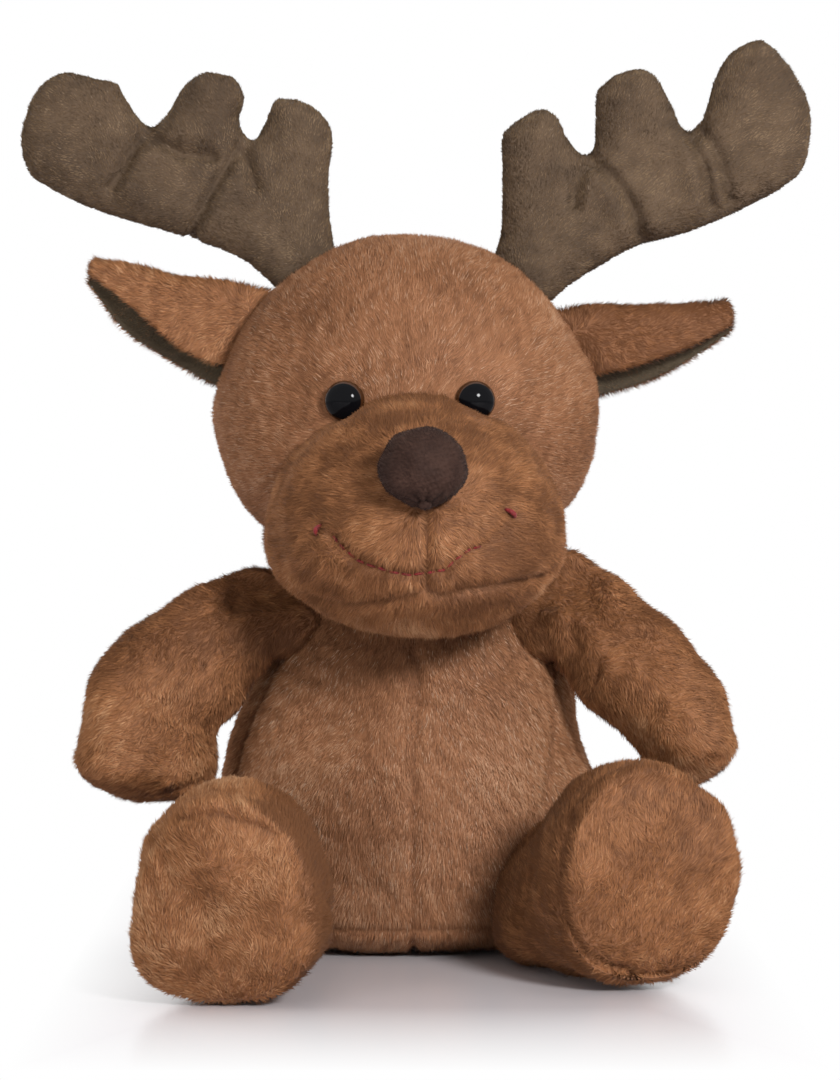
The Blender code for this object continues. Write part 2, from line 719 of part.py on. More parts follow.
def layer(name, outer, inner):
    """A closed layer of cloth between two sheets of points."""
    steps, width = len(outer), len(outer[0])
    points = [p for sheet in (outer, inner) for row in sheet for p in row]

    def at(sheet, i, j):
        return (sheet * steps + i) * width + j

    faces = []
    for i in range(steps - 1):
        for j in range(width - 1):
            for sheet in (0, 1):
                for corners in (((i, j), (i, j + 1), (i + 1, j + 1)), ((i, j), (i + 1, j + 1), (i + 1, j))):
                    faces.append(tuple(at(sheet, *corner) for corner in corners))
    rim = [(0, j) for j in range(width)] + [(i, width - 1) for i in range(1, steps)]
    rim += [(steps - 1, j) for j in range(width - 2, -1, -1)] + [(i, 0) for i in range(steps - 2, 0, -1)]
    for start, end in zip(rim, rim[1:] + rim[:1]):
        faces.append((at(0, *start), at(0, *end), at(1, *end), at(1, *start)))
    return mesh_from(name, points, faces)


# Sub-assemblies


def add_joint(name, place, parent=None):
    """An empty on a joint's axis, which the pieces that move with it hang on."""
    joint = bpy.data.objects.new(name, None)
    bpy.context.collection.objects.link(joint)
    joint.empty_display_size = SEAM_GAP * 20
    joint.location = place
    bpy.context.view_layer.update()
    if parent:
        joint.parent = parent
        joint.location = Vector(place) - parent.matrix_world.translation
        bpy.context.view_layer.update()
    return joint


def find_shoulder(side, skin):
    """The shoulder lies on the body's face, a little to the front."""
    turn = math.radians(SHOULDER_TURN_DEG)
    toward = Vector((SIDES[side] * math.cos(turn), -math.sin(turn), 0))
    place, _ = hit(skin, (0, 0, BODY_HEIGHT - SHOULDER_DROP), toward)
    return place


def find_hip(side, skin):
    turn = math.radians(HIP_TURN_DEG)
    toward = Vector((SIDES[side] * math.cos(turn), -math.sin(turn), 0))
    place, _ = hit(skin, (0, 0, HIP_HEIGHT), toward)
    return place


def ball_mesh(name, place, radius):
    """A ball of even triangles, and how far its corners reach, wholly outside a true ball of this radius."""
    shape = bmesh.new()
    bmesh.ops.create_icosphere(shape, subdivisions=BALL_STEPS, radius=radius)
    nearest = min(abs(face.normal.dot(face.verts[0].co)) for face in shape.faces)
    reach = radius * radius / nearest
    bmesh.ops.scale(shape, vec=(radius / nearest, radius / nearest, radius / nearest), verts=shape.verts)
    mesh = bpy.data.meshes.new(name)
    shape.to_mesh(mesh)
    shape.free()
    mesh.transform(Matrix.Translation(place))
    return mesh, reach


def root_ball(name, joint, radius):
    """The space a limb's own root turns in, which stays out of what is cut from the limb."""
    mesh, _ = ball_mesh(name, joint.matrix_world.translation, radius + ROOT_SLACK)
    return add_cutter(f"{name}_{joint.name}", mesh)


def socket_ball(name, joint, radius, wall):
    """The hollow in which the root of an arm or a leg sits, grown by a wall's thickness."""
    place = joint.matrix_world.translation
    _, reach = ball_mesh(name, place, radius + ROOT_SLACK)
    mesh, _ = ball_mesh(name, place, reach + SEAM_GAP + wall)
    return add_cutter(f"{name}_{joint.name}", mesh)


def build_body(fur, fibre, cotton, joints):
    sockets = [socket_ball("socket", joint, radius, 0.0) for joint, radius in joints]
    walls = [socket_ball("socket_wall", joint, radius, FUR_CLOTH) for joint, radius in joints]
    rooms = [socket_ball("socket_room", joint, radius, FUR_CLOTH + SEAM_GAP) for joint, radius in joints]
    hollow = add_cutter("body_hollow", lofted("body_hollow", body_rings(FUR_CLOTH, BODY_HEIGHT + OVERRUN)))
    cut(hollow, *walls)
    middle_near, middle_far = seam("body_middle", (0, 0, 0), (1, 0, 0))
    side_near, side_far = seam("body_side", (0, -SIDE_SEAM_FORWARD, 0), (0, 1, 0))
    base_near, base_far = seam("body_bottom", (0, 0, BASE_SEAM_HEIGHT), (0, 0, 1))
    panels = {
        "body_front_left": (side_near, middle_near, base_far),
        "body_front_right": (side_near, middle_far, base_far),
        "body_back_left": (side_far, middle_near, base_far),
        "body_back_right": (side_far, middle_far, base_far),
        "body_base": (base_near,),
    }
    for name, planes in panels.items():
        panel = add_piece(name, lofted(name, body_rings()), fur)
        cut(panel, *planes, hollow, *sockets)
    filling = add_piece("body_stuffing", lofted("body_stuffing", body_rings(FUR_CLOTH + SEAM_GAP)), fibre)
    pocket = add_cutter("pouch_room", lofted("pouch_room", pouch_rings(SEAM_GAP, OVERRUN)))
    cut(filling, *rooms, pocket)
    add_piece("bean_pouch", lofted("bean_pouch", pouch_rings(0.0, 0.0)), cotton)


def pouch_rings(clearance, overrun):
    """The pellet bag: a low bun on the cloth of the seat. Its room runs out through the filling's underside."""
    floor = FUR_CLOTH + 2 * SEAM_GAP
    place = Vector((0, POUCH_BACK, floor))
    rings = []
    if overrun:
        rings.append((-overrun, 1.0))
    rings += [(rise * (POUCH_HEIGHT + clearance), girth) for rise, girth in POUCH_SHARES]
    out = []
    for height, girth in rings:
        half = (POUCH_HALF_WIDTH * girth + clearance, POUCH_HALF_DEPTH * girth + clearance)
        middle = place + Vector((0, 0, height))
        out.append([middle + Vector((half[0] * math.cos(a), half[1] * math.sin(a), 0)) for a in turns(BALL_SIDES)])
    return out


def build_neck(fibre, neck):
    """A stuffed dome that the head turns on and nods over."""
    low = math.asin((NECK_DROP + SEAM_GAP) / NECK_RADIUS)
    profile = []
    for i in range(6):
        tilt = low + (math.pi / 2 - low) * i / 5
        radius = NECK_RADIUS * math.cos(tilt) if i < 5 else 0
        profile.append((NECK_RADIUS * math.sin(tilt), radius))
    add_piece("neck_stuffing", lofted("neck_stuffing", round_rings(NECK_CENTRE, (0, 0, 1), profile, HEAD_SIDES)),
              fibre, neck)


def collar_cutters():
    """What the head must stay clear of while it turns and nods: the neck's ball and the tilted shoulders."""
    size = round_about(NECK_RADIUS + SEAM_GAP, HEAD_SIDES)
    ball = add_cutter("neck_room", lofted("neck_room", ball_rings(NECK_CENTRE, (size, size, size), HEAD_SIDES)))
    profile = []
    for share in (0.5, 0.7, 0.85, 0.95, 1.0):
        ring = body_ring(share * BODY_HEIGHT, -SEAM_GAP)
        reach = round_about(max(p.length for p in ring), HEAD_SIDES)
        profile.append(((share - 1) * BODY_HEIGHT, reach))
    top = Vector((0, 0, BODY_HEIGHT + SEAM_GAP))
    shoulders = lofted("shoulders", round_rings(top, (0, 0, 1), profile, HEAD_SIDES))
    nods = (NECK_CENTRE, "X", (-HEAD_NOD_DEG, 0, HEAD_NOD_DEG))
    return [ball, swept("shoulder_room", shoulders, [nods])]


def find_eye(side, skin):
    across = HEAD_CENTRE.x + EYE_SHIFT + SIDES[side] * EYE_SPACING / 2
    return hit(skin, (across, -CUT_SIZE, HEAD_CENTRE.z - EYE_DROP), (0, 1, 0))


def build_eyes(plastic, clip, skin, head):
    """Domes with stems through the face and washers behind it. Returns the cutters for stems and washers."""
    stems, washers, rims = [], [], []
    for side in SIDES:
        place, normal = find_eye(side, skin)
        seat = place + normal * SEAM_GAP
        profile = [(EYE_BULGE, 0)]
        for degrees in (65, 40, 18):
            lean = math.radians(degrees)
            profile.append((EYE_BULGE * math.sin(lean), EYE_RADIUS * math.cos(lean)))
        profile += [(0, EYE_RADIUS), (0, EYE_STEM_RADIUS), (-EYE_STEM_LENGTH, EYE_STEM_RADIUS)]
        add_piece(f"eye_{side}", lofted("eye", round_rings(seat, normal, profile)), plastic, head)
        back = -(FUR_CLOTH + WASHER_SETBACK)
        bore = EYE_STEM_RADIUS + SEAM_GAP
        disc = [(back, WASHER_RADIUS), (back - WASHER_THICKNESS, WASHER_RADIUS)]
        washer = add_piece(f"eye_washer_{side}", lofted("washer", round_rings(seat, normal, disc)), clip, head)
        hole = [(OVERRUN, bore), (-EYE_STEM_LENGTH - OVERRUN, bore)]
        stem = add_cutter(f"stem_room_{side}", lofted("stem_room", round_rings(seat, normal, hole)))
        cut(washer, stem)
        room = [(OVERRUN, WASHER_RADIUS + SEAM_GAP), (-EYE_STEM_LENGTH - SEAM_GAP, WASHER_RADIUS + SEAM_GAP)]
        washers.append(add_cutter(f"washer_room_{side}", lofted("washer_room", round_rings(seat, normal, room))))
        rim = EYE_RADIUS + SEAM_GAP
        around = [(-OVERRUN, rim), (EYE_BULGE, rim), (EYE_BULGE + OVERRUN, EYE_RADIUS / 2)]
        rims.append(add_cutter(f"eye_room_{side}", lofted("eye_room", round_rings(seat, normal, around))))
        stems.append(stem)
    return stems, washers, rims


def build_head(fur, fibre, plastic, clip, head):
    skin = lofted("head_skin", head_rings())
    stems, washers, rims = build_eyes(plastic, clip, skin, head)
    collar = collar_cutters()
    hollow = add_cutter("head_hollow", lofted("head_hollow", head_rings(FUR_CLOTH)))
    face_near, face_far = seam("head_side", (0, HEAD_SEAM_BACK, 0), (0, 1, 0))
    back_near, back_far = seam("head_middle", (HEAD_CENTRE.x, 0, 0), (1, 0, 0))
    panels = {
        "head_face": (face_near, *stems),
        "head_back_left": (face_far, back_near),
        "head_back_right": (face_far, back_far),
    }
    for name, planes in panels.items():
        cut(add_piece(name, lofted(name, head_rings()), fur, head), *planes, hollow, *collar)
    filling = add_piece("head_stuffing", lofted("head_stuffing", head_rings(FUR_CLOTH + SEAM_GAP)), fibre, head)
    cut(filling, *collar, *washers)
    return rims, collar


def build_muzzle(fur, fibre, rims, collar, head):
    """Two panels with a seam down the middle over a chin, all cut by the head's form."""
    behind = add_cutter("head_block", lofted("head_block", head_rings(-SEAM_GAP)))
    hollow = add_cutter("muzzle_hollow", lofted("muzzle_hollow", muzzle_rings(FUR_CLOTH)))
    split = MUZZLE_ROOT.x + MUZZLE_SEAM_SHIFT
    left_near, right_far = seam("muzzle_middle", (split, 0, 0), (1, 0, 0))
    lip = MUZZLE_ROOT.z - CHIN_SEAM_DROP
    chin_near, lip_far = seam("muzzle_lip", (0, 0, lip), (0, 0, 1))
    panels = {
        "muzzle_left": (left_near, lip_far),
        "muzzle_right": (right_far, lip_far),
        "chin": (chin_near,),
    }
    for name, planes in panels.items():
        cut(add_piece(name, lofted(name, muzzle_rings()), fur, head), *planes, hollow, behind, collar[1], *rims)
    filling = add_piece("muzzle_stuffing", lofted("muzzle_stuffing", muzzle_rings(FUR_CLOTH + FILL_GAP)), fibre, head)
    cut(filling, behind, collar[1], *rims)


def build_nose(knit, fibre, head):
    """A ball sewn to the front of the muzzle, flat where it meets it."""
    skin = lofted("muzzle_skin", muzzle_rings())
    place, _ = hit(skin, (MUZZLE_ROOT.x + NOSE_SIDE, -CUT_SIZE, MUZZLE_ROOT.z + NOSE_RISE), (0, 1, 0))
    centre = place + Vector((0, NOSE_SINK - NOSE_HALF_DEPTH, 0))
    behind = add_cutter("muzzle_block", lofted("muzzle_block", muzzle_rings(-SEAM_GAP)))
    radii = (NOSE_HALF_WIDTH, NOSE_HALF_DEPTH, NOSE_HALF_HEIGHT)
    inner = [r - NAP_CLOTH for r in radii]
    core = [r - NAP_CLOTH - SEAM_GAP for r in radii]
    hollow = add_cutter("nose_hollow", lofted("nose_hollow", ball_rings(centre, inner)))
    cut(add_piece("nose_cover", lofted("nose_cover", ball_rings(centre, radii)), knit, head), hollow, behind)
    cut(add_piece("nose_stuffing", lofted("nose_stuffing", ball_rings(centre, core)), fibre, head), behind)


def build_smile(thread, head):
    """The embroidered smile, which lies on the face of the muzzle."""
    skin = lofted("muzzle_skin", muzzle_rings(-SEAM_GAP))
    rows = [(i / (len(SMILE_SHARES) - 1),) + row for i, row in enumerate(SMILE_SHARES)]
    line, normals = [], []
    for i in range(SMILE_STEPS + 1):
        across, up = through(rows, i / SMILE_STEPS)
        start = (MUZZLE_ROOT.x + across * MUZZLE_HALF_WIDTH, -CUT_SIZE, MUZZLE_ROOT.z + up * MUZZLE_UP)
        place, normal = hit(skin, start, (0, 1, 0))
        line.append(place + normal * (THREAD_RADIUS + SEAM_GAP))
        normals.append(normal)
    rings = [[line[0]]]
    for before, middle, after, normal in zip(line, line[1:], line[2:], normals[1:]):
        along = (after - before).normalized()
        wide = along.cross(normal).normalized()
        tall = wide.cross(along)
        rings.append([
            middle + THREAD_RADIUS * (math.cos(a) * wide + math.sin(a) * tall) for a in turns(THREAD_SIDES)
        ])
    rings.append([line[-1]])
    add_piece("smile_thread", lofted("smile_thread", rings), thread, head)


def root_on_head(side, skin, degrees, back):
    """A place on the head's outline, seen from the front, so many degrees above the middle of the head."""
    lean = math.radians(degrees)
    toward = Vector((SIDES[side] * math.cos(lean), 0, math.sin(lean)))
    start = Vector((HEAD_CENTRE.x, back, HEAD_CENTRE.z))
    place, normal = hit(skin, start, toward)
    flat = Vector((normal.x, 0, normal.z)).normalized()
    return place, flat


def head_cutters(name, block, joint, axis, degrees):
    """The head's form where a piece that bends on it meets it: straight, bent back and bent forward."""
    place = joint.matrix_world.translation
    return [swept(f"{name}_{i}", block, [(place, axis, (degrees * way,))]) for i, way in enumerate((0, -1, 1))]


def build_ear(side, fur, lining, skin, head, block):
    root, outward = root_on_head(side, skin, EAR_ROOT_DEG[side], HEAD_SEAM_BACK)
    joint = add_joint(f"ear_root_{side}", root + outward * EAR_AXIS_PROUD, head)
    axis = Vector((-outward.z, 0, outward.x)).normalized()
    sheets = [ear_sheet(side, root, inset) for inset in (0.0, FUR_CLOTH, FUR_CLOTH + SEAM_GAP, EAR_THICKNESS)]
    blocks = head_cutters(f"ear_room_{side}", block, joint, axis, EAR_FLAP_DEG)
    cut(add_piece(f"ear_fur_{side}", layer("ear_fur", *sheets[:2]), fur, joint), *blocks)
    cut(add_piece(f"ear_lining_{side}", layer("ear_lining", *sheets[2:]), lining, joint), *blocks)


def build_antler(side, nap, fibre, skin, head, block):
    place, outward = root_on_head(side, skin, ANTLER_ROOT_DEG[side], HEAD_SEAM_BACK)
    root = place - outward * ANTLER_SINK
    joint = add_joint(f"antler_root_{side}", place + outward * ANTLER_AXIS_PROUD, head)
    axis = Vector((-outward.z, 0, outward.x)).normalized()
    blocks = head_cutters(f"antler_room_{side}", block, joint, axis, ANTLER_FLEX_DEG)
    hollow = add_cutter(f"antler_hollow_{side}", antler_mesh("antler_hollow", side, root, NAP_CLOTH))
    front_near, back_far = seam(f"antler_seam_{side}", root, (0, 1, 0))
    for name, plane in (("antler_front", front_near), ("antler_back", back_far)):
        form = antler_mesh(name, side, root, 0.0)
        cut(add_piece(f"{name}_{side}", form, nap, joint), plane, hollow, *blocks)
    core = shrunk(antler_mesh("antler_stuffing", side, root, NAP_CLOTH), ANTLER_FILL_GAP)
    cut(add_piece(f"antler_stuffing_{side}", core, fibre, joint), *blocks)


def arm_cutters(side, shoulder, joint, body):
    """What an arm must stay clear of as it lifts: the body, its top, and the muzzle of a turned head."""
    root = root_ball("arm_root", joint, ARM_ROOT_RADIUS)
    lifts = [SIDES[side] * ARM_LIFT_DEG * share for share in (0, 0.5, 1)]
    at_rest = cut(add_cutter(f"arm_rest_room_{side}", body), root)
    top = lofted("body_top", [ring for ring in body_rings(-2 * SEAM_GAP) if ring[0].z > TOP_SHARE * BODY_HEIGHT])
    raised = swept(f"arm_room_{side}", top, [(shoulder, "Y", lifts)], root)
    muzzle = lofted("muzzle_clear", muzzle_rings(-SEAM_GAP))
    moves = [
        (NECK_CENTRE, "X", (-HEAD_NOD_DEG, HEAD_NOD_DEG)),
        (NECK_CENTRE, "Z", (-HEAD_TURN_DEG, 0, HEAD_TURN_DEG)),
        (shoulder, "Y", lifts),
    ]
    return [at_rest, raised, swept(f"muzzle_room_{side}", muzzle, moves)]


def build_arm(side, fur, fibre, joint, body):
    shoulder = joint.matrix_world.translation
    points, sizes = arm_line(side, shoulder)
    hand = points[-1] - shoulder
    face = Vector((-hand.y, hand.x, 0)).normalized() * SIDES[side]
    blocks = arm_cutters(side, shoulder, joint, body)
    crown = ARM_PAW_SHARE * ARM_HALF_DEPTH

    def form(inset):
        return lofted("arm", limb_rings(points, sizes, ARM_ROOT_RADIUS, crown, 0.0, inset))

    hollow = add_cutter(f"arm_hollow_{side}", form(FUR_CLOTH))
    near, far = seam(f"arm_seam_{side}", shoulder - face * ARM_SEAM_SHIFT, face)
    for name, plane in ((f"arm_front_{side}", near), (f"arm_back_{side}", far)):
        cut(add_piece(name, form(0.0), fur, joint), plane, hollow, *blocks)
    cut(add_piece(f"arm_stuffing_{side}", form(FUR_CLOTH + FILL_GAP), fibre, joint), *blocks)


def build_leg(side, fur, fibre, joint, body, floor):
    hip = joint.matrix_world.translation
    points, sizes = leg_line(side, hip)
    rim, ahead = sole_plane(side, hip)
    root = root_ball("leg_root", joint, LEG_ROOT_RADIUS)
    lifts = [LEG_LIFT_DEG * share for share in (0, 0.5, 1)]
    blocks = [swept(f"leg_room_{side}", body, [(hip, "X", lifts)], root)]
    raised = beyond(f"floor_room_{side}", (0, 0, FUR_CLOTH), (0, 0, -1))

    def form(inset):
        return lofted("leg", limb_rings(points, sizes, LEG_ROOT_RADIUS, SOLE_BULGE, FOOT_TAPER_SHARE[side], inset))

    hollow = cut(add_cutter(f"leg_hollow_{side}", form(FUR_CLOTH)), raised)
    lean = math.radians(SOLE_LEAN_DEG[side])
    look = (ahead * math.cos(lean) + Vector((0, 0, math.sin(lean)))).normalized()
    near, far = seam(f"sole_seam_{side}", rim, look)
    cut(add_piece(f"leg_{side}", form(0.0), fur, joint), near, floor, hollow, *blocks)
    cut(add_piece(f"foot_sole_{side}", form(0.0), fur, joint), far, floor, hollow)
    above = beyond(f"filling_floor_{side}", (0, 0, FUR_CLOTH + SEAM_GAP), (0, 0, -1))
    cut(add_piece(f"leg_stuffing_{side}", form(FUR_CLOTH + FILL_GAP), fibre, joint), above, *blocks)


def main():
    clear_scene()
    fur = make_material("fur", FUR_COLOR, 0.9, 0.3)
    nap = make_material("nap", NAP_COLOR, 0.9, 0.3)
    lining = make_material("lining", LINING_COLOR, 0.95)
    knit = make_material("knit", NOSE_COLOR, 0.85, 0.2)
    plastic = make_material("eye_plastic", EYE_COLOR, 0.08)
    thread = make_material("thread", THREAD_COLOR, 0.6)
    fibre = make_material("fibre", FIBRE_COLOR, 1.0)
    cotton = make_material("cotton", COTTON_COLOR, 0.9)
    clip = make_material("washer_plastic", WASHER_COLOR, 0.4)

    body_skin = lofted("body_skin", body_rings())
    shoulders = {side: add_joint(f"shoulder_{side}", find_shoulder(side, body_skin)) for side in SIDES}
    hips = {side: add_joint(f"hip_{side}", find_hip(side, body_skin)) for side in SIDES}
    neck = add_joint("neck_turn", NECK_CENTRE)
    head = add_joint("neck_nod", NECK_CENTRE, neck)
    roots = [(joint, ARM_ROOT_RADIUS) for joint in shoulders.values()]
    roots += [(joint, LEG_ROOT_RADIUS) for joint in hips.values()]

    build_body(fur, fibre, cotton, roots)
    build_neck(fibre, neck)
    rims, collar = build_head(fur, fibre, plastic, clip, head)
    build_muzzle(fur, fibre, rims, collar, head)
    build_nose(knit, fibre, head)
    build_smile(thread, head)

    head_skin = lofted("head_skin", head_rings())
    head_block = lofted("head_clear", head_rings(-SEAM_GAP))
    for side in SIDES:
        build_ear(side, fur, lining, head_skin, head, head_block)
        build_antler(side, nap, fibre, head_skin, head, head_block)

    body_block = lofted("body_clear", body_rings(-SEAM_GAP))
    floor = beyond("floor", (0, 0, 0), (0, 0, -1))
    for side in SIDES:
        build_arm(side, fur, fibre, shoulders[side], body_block)
        build_leg(side, fur, fibre, hips[side], body_block, floor)


main()
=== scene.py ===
"""Plush deer: fur, seams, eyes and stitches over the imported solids.

+Z is up, the deer looks along -Y, and left and right are the viewer's, so left is -X. Lengths are in metres.
"""

import math

import bmesh
import bpy
import numpy as np
from mathutils import Matrix, Vector
from mathutils.bvhtree import BVHTree
from mathutils.geometry import delaunay_2d_cdt
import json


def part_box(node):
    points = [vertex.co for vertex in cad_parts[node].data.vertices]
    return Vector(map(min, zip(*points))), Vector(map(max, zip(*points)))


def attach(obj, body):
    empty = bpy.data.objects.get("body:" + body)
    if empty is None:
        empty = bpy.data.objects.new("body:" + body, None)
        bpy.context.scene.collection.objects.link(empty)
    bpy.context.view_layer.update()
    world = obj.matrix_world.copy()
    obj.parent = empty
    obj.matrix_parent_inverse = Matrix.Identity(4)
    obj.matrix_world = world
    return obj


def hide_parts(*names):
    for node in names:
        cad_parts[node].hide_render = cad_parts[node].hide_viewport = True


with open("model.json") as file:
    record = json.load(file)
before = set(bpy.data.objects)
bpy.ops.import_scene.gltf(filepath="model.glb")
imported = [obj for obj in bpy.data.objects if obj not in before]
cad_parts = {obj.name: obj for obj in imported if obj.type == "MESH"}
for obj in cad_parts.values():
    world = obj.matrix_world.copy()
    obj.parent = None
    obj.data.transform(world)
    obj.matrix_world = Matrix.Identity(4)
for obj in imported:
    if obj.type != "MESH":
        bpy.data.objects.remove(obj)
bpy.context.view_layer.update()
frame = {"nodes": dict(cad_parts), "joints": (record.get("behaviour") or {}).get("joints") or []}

MM = 0.001
SIDES = {"left": -1, "right": 1}

# Camera
CAMERA_PLACE = (0.002, -1.1, 0.163)
CAMERA_TILT_DEG = 88
CAMERA_LENS = 118.27
SENSOR = 36
FRAME_WIDTH, FRAME_HEIGHT = 840, 1080
LAMP_AIM = Vector((0, 0, 0.13))

# Pile
SKIN_DEPTH = 1.9 * MM
FIT_SLACK = 1.2 * MM
STRAND_WIDTH = 0.38 * MM
STRANDS_PER_MM2 = 2.8
STRAND_ROOT = 0.25 * MM
SHORTEST_SHARE = 0.12
FLOOR_GAP = 0.15 * MM
MOST_CORNERS = 190000


# Small mathematics on arrays


def smooth_rows(rows, at):
    """Values on a smooth curve through rows of a place and its values, for an array of places."""
    rows = np.array(rows, float)
    at = np.atleast_1d(np.asarray(at, float))
    places, values = rows[:, 0], rows[:, 1:]
    slopes = np.gradient(values, places, axis=0)
    i = np.clip(np.searchsorted(places, at, side="right") - 1, 0, len(places) - 2)
    span = (places[i + 1] - places[i])[:, None]
    t = np.clip((at - places[i]) / span[:, 0], 0, 1)[:, None]
    return (
        (1 + 2 * t) * (1 - t) ** 2 * values[i]
        + t * (1 - t) ** 2 * span * slopes[i]
        + t * t * (3 - 2 * t) * values[i + 1]
        + t * t * (t - 1) * span * slopes[i + 1]
    )


def unit(v):
    return v / np.maximum(np.linalg.norm(v, axis=-1, keepdims=True), 1e-12)


def dots(a, b):
    return np.sum(a * b, axis=-1, keepdims=True)


def waves(points, wavelength, seed, count=10):
    """A smooth field without a pattern, about -1 to 1, made of waves in many directions."""
    rng = np.random.default_rng(seed)
    ways = unit(rng.normal(size=(count, 3)))
    sizes = 2 * math.pi / (wavelength * rng.uniform(0.75, 1.35, count))
    starts = rng.uniform(0, 2 * math.pi, count)
    return np.sin(points @ (ways * sizes[:, None]).T + starts).sum(1) * math.sqrt(1.2 / count)


def wave_vectors(points, wavelength, seed):
    return np.stack([waves(points, wavelength, seed + i) for i in range(3)], 1)


def step_between(low, high, x):
    t = np.clip((x - low) / (high - low), 0, 1)
    return t * t * (3 - 2 * t)


def bell(x, width):
    return np.exp(-((x / width) ** 2))


def line_distance(points, line):
    """How far points are from a line of points, all with as many coordinates."""
    best = np.full(len(points), np.inf)
    for start, end in zip(line[:-1], line[1:]):
        side = end - start
        along = np.clip((points - start) @ side / max(side @ side, 1e-12), 0, 1)
        best = np.minimum(best, np.linalg.norm(points - start - along[:, None] * side, axis=1))
    return best


# Meshes


def new_object(name, data):
    thing = bpy.data.objects.new(name, data)
    bpy.context.collection.objects.link(thing)
    return thing


def mesh_object(name, verts, faces, material=None):
    mesh = bpy.data.meshes.new(name)
    mesh.from_pydata([tuple(v) for v in verts], [], faces)
    mesh.update()
    mesh.shade_smooth()
    if material:
        mesh.materials.append(material)
    return new_object(name, mesh)


def closed_skin(name, verts, faces, material):
    """A closed piece whose faces look outward, without loose points."""
    thing = mesh_object(name, verts, faces, material)
    shape = bmesh.new()
    shape.from_mesh(thing.data)
    bmesh.ops.delete(shape, geom=[v for v in shape.verts if not v.link_faces], context="VERTS")
    bmesh.ops.recalc_face_normals(shape, faces=shape.faces)
    shape.to_mesh(thing.data)
    shape.free()
    thing.data.shade_smooth()
    return thing


def points_of(thing):
    mesh = thing.data
    co = np.empty(len(mesh.vertices) * 3)
    mesh.vertices.foreach_get("co", co)
    return co.reshape(-1, 3)


def normals_of(thing):
    mesh = thing.data
    mesh.update()
    out = np.empty(len(mesh.vertices) * 3)
    mesh.vertex_normals.foreach_get("vector", out)
    return out.reshape(-1, 3)


def set_points(thing, points):
    thing.data.vertices.foreach_set("co", np.ascontiguousarray(points, float).ravel())
    thing.data.update()


def triangles_of(thing):
    mesh = thing.data
    mesh.calc_loop_triangles()
    out = np.empty(len(mesh.loop_triangles) * 3, int)
    mesh.loop_triangles.foreach_get("vertices", out)
    return out.reshape(-1, 3)


def tree_of(things):
    verts, faces = [], []
    for thing in things:
        base = len(verts)
        verts += [tuple(p) for p in points_of(thing)]
        faces += [tuple(int(i) + base for i in t) for t in triangles_of(thing)]
    return BVHTree.FromPolygons(verts, faces)


def oval(width, front, back, cols):
    """A level ring of points about the origin, with its half-width and its reach to front and back."""
    turns = np.linspace(0, 2 * math.pi, cols, endpoint=False)
    across, along = np.cos(turns), np.sin(turns)
    return np.stack([width * across, np.where(along > 0, back, front) * along, np.zeros(cols)], 1)


def closed_grid(name, rings, material):
    """A closed skin over rings of points: the first and last ring shrink to a tip each."""
    rows, cols, _ = rings.shape
    verts = [rings[0].mean(0)] + [p for ring in rings[1:-1] for p in ring] + [rings[-1].mean(0)]
    last = len(verts) - 1
    faces = []
    for j in range(cols):
        k = (j + 1) % cols
        faces.append((0, 1 + k, 1 + j))
        for i in range(rows - 3):
            a, b = 1 + i * cols, 1 + (i + 1) * cols
            faces.append((a + j, a + k, b + k, b + j))
        a = 1 + (rows - 3) * cols
        faces.append((a + j, a + k, last))
    return closed_skin(name, verts, faces, material)


def sink(thing, depth):
    """Moves a skin inward along its normals."""
    set_points(thing, points_of(thing) - normals_of(thing) * depth)


# Materials


def feed(node, inputs):
    """Sets a node's inputs, by name or number, to values, or links them to the outputs of other nodes."""
    for name, value in inputs.items():
        if isinstance(value, bpy.types.NodeSocket):
            node.id_data.links.new(value, node.inputs[name])
        else:
            node.inputs[name].default_value = value
    return node


def add(tree, kind, inputs, **settings):
    node = tree.nodes.new("ShaderNode" + kind)
    for name, value in settings.items():
        setattr(node, name, value)
    return feed(node, inputs)


def maths(tree, operation, *values):
    return add(tree, "Math", dict(enumerate(values)), operation=operation).outputs["Value"]


def noise(tree, scale, detail):
    where = add(tree, "TexCoord", {}).outputs["Object"]
    return add(tree, "TexNoise", {"Vector": where, "Scale": scale, "Detail": detail}).outputs["Fac"]


def mottled(tree, factor, low, dark, high, light):
    """A colour that goes from dark to light as a factor goes from low to high."""
    ramp = add(tree, "ValToRGB", {"Fac": factor})
    for stop, place, color in zip(ramp.color_ramp.elements, (low, high), (dark, light)):
        stop.position, stop.color = place, (*color, 1)
    return ramp.outputs["Color"]


def relief(tree, height, strength, distance):
    return add(tree, "Bump", {"Strength": strength, "Distance": distance, "Height": height}).outputs["Normal"]


def varied(tree, scale, detail, low, high):
    """A number that varies softly over the surface between two."""
    noisy = noise(tree, scale, detail)
    return add(tree, "MapRange", {"Value": noisy, "To Min": low, "To Max": high}).outputs["Result"]


def mix_shaders(tree, factor, first, second, output):
    mix = add(tree, "MixShader", {"Fac": factor, 1: first, 2: second})
    feed(tree.nodes[output], {"Surface": mix.outputs["Shader"]})


def plain_shader(name, roughness):
    material = bpy.data.materials.new(name)
    material.use_nodes = True
    tree = material.node_tree
    return material, tree, feed(tree.nodes["Principled BSDF"], {"Roughness": roughness})


def cloth_material(name, dark, light, scale, bump_scale, roughness=0.92, sheen=0.3):
    """Cloth under the pile: mottled between two colours, with a fine nap in its bump."""
    material, tree, shader = plain_shader(name, roughness)
    feed(shader, {
        "Sheen Weight": sheen, "Sheen Roughness": 0.4,
        "Base Color": mottled(tree, noise(tree, scale, 4), 0.35, dark, 0.65, light),
        "Normal": relief(tree, noise(tree, bump_scale, 2), 0.6, 0.4 * MM),
    })
    return material


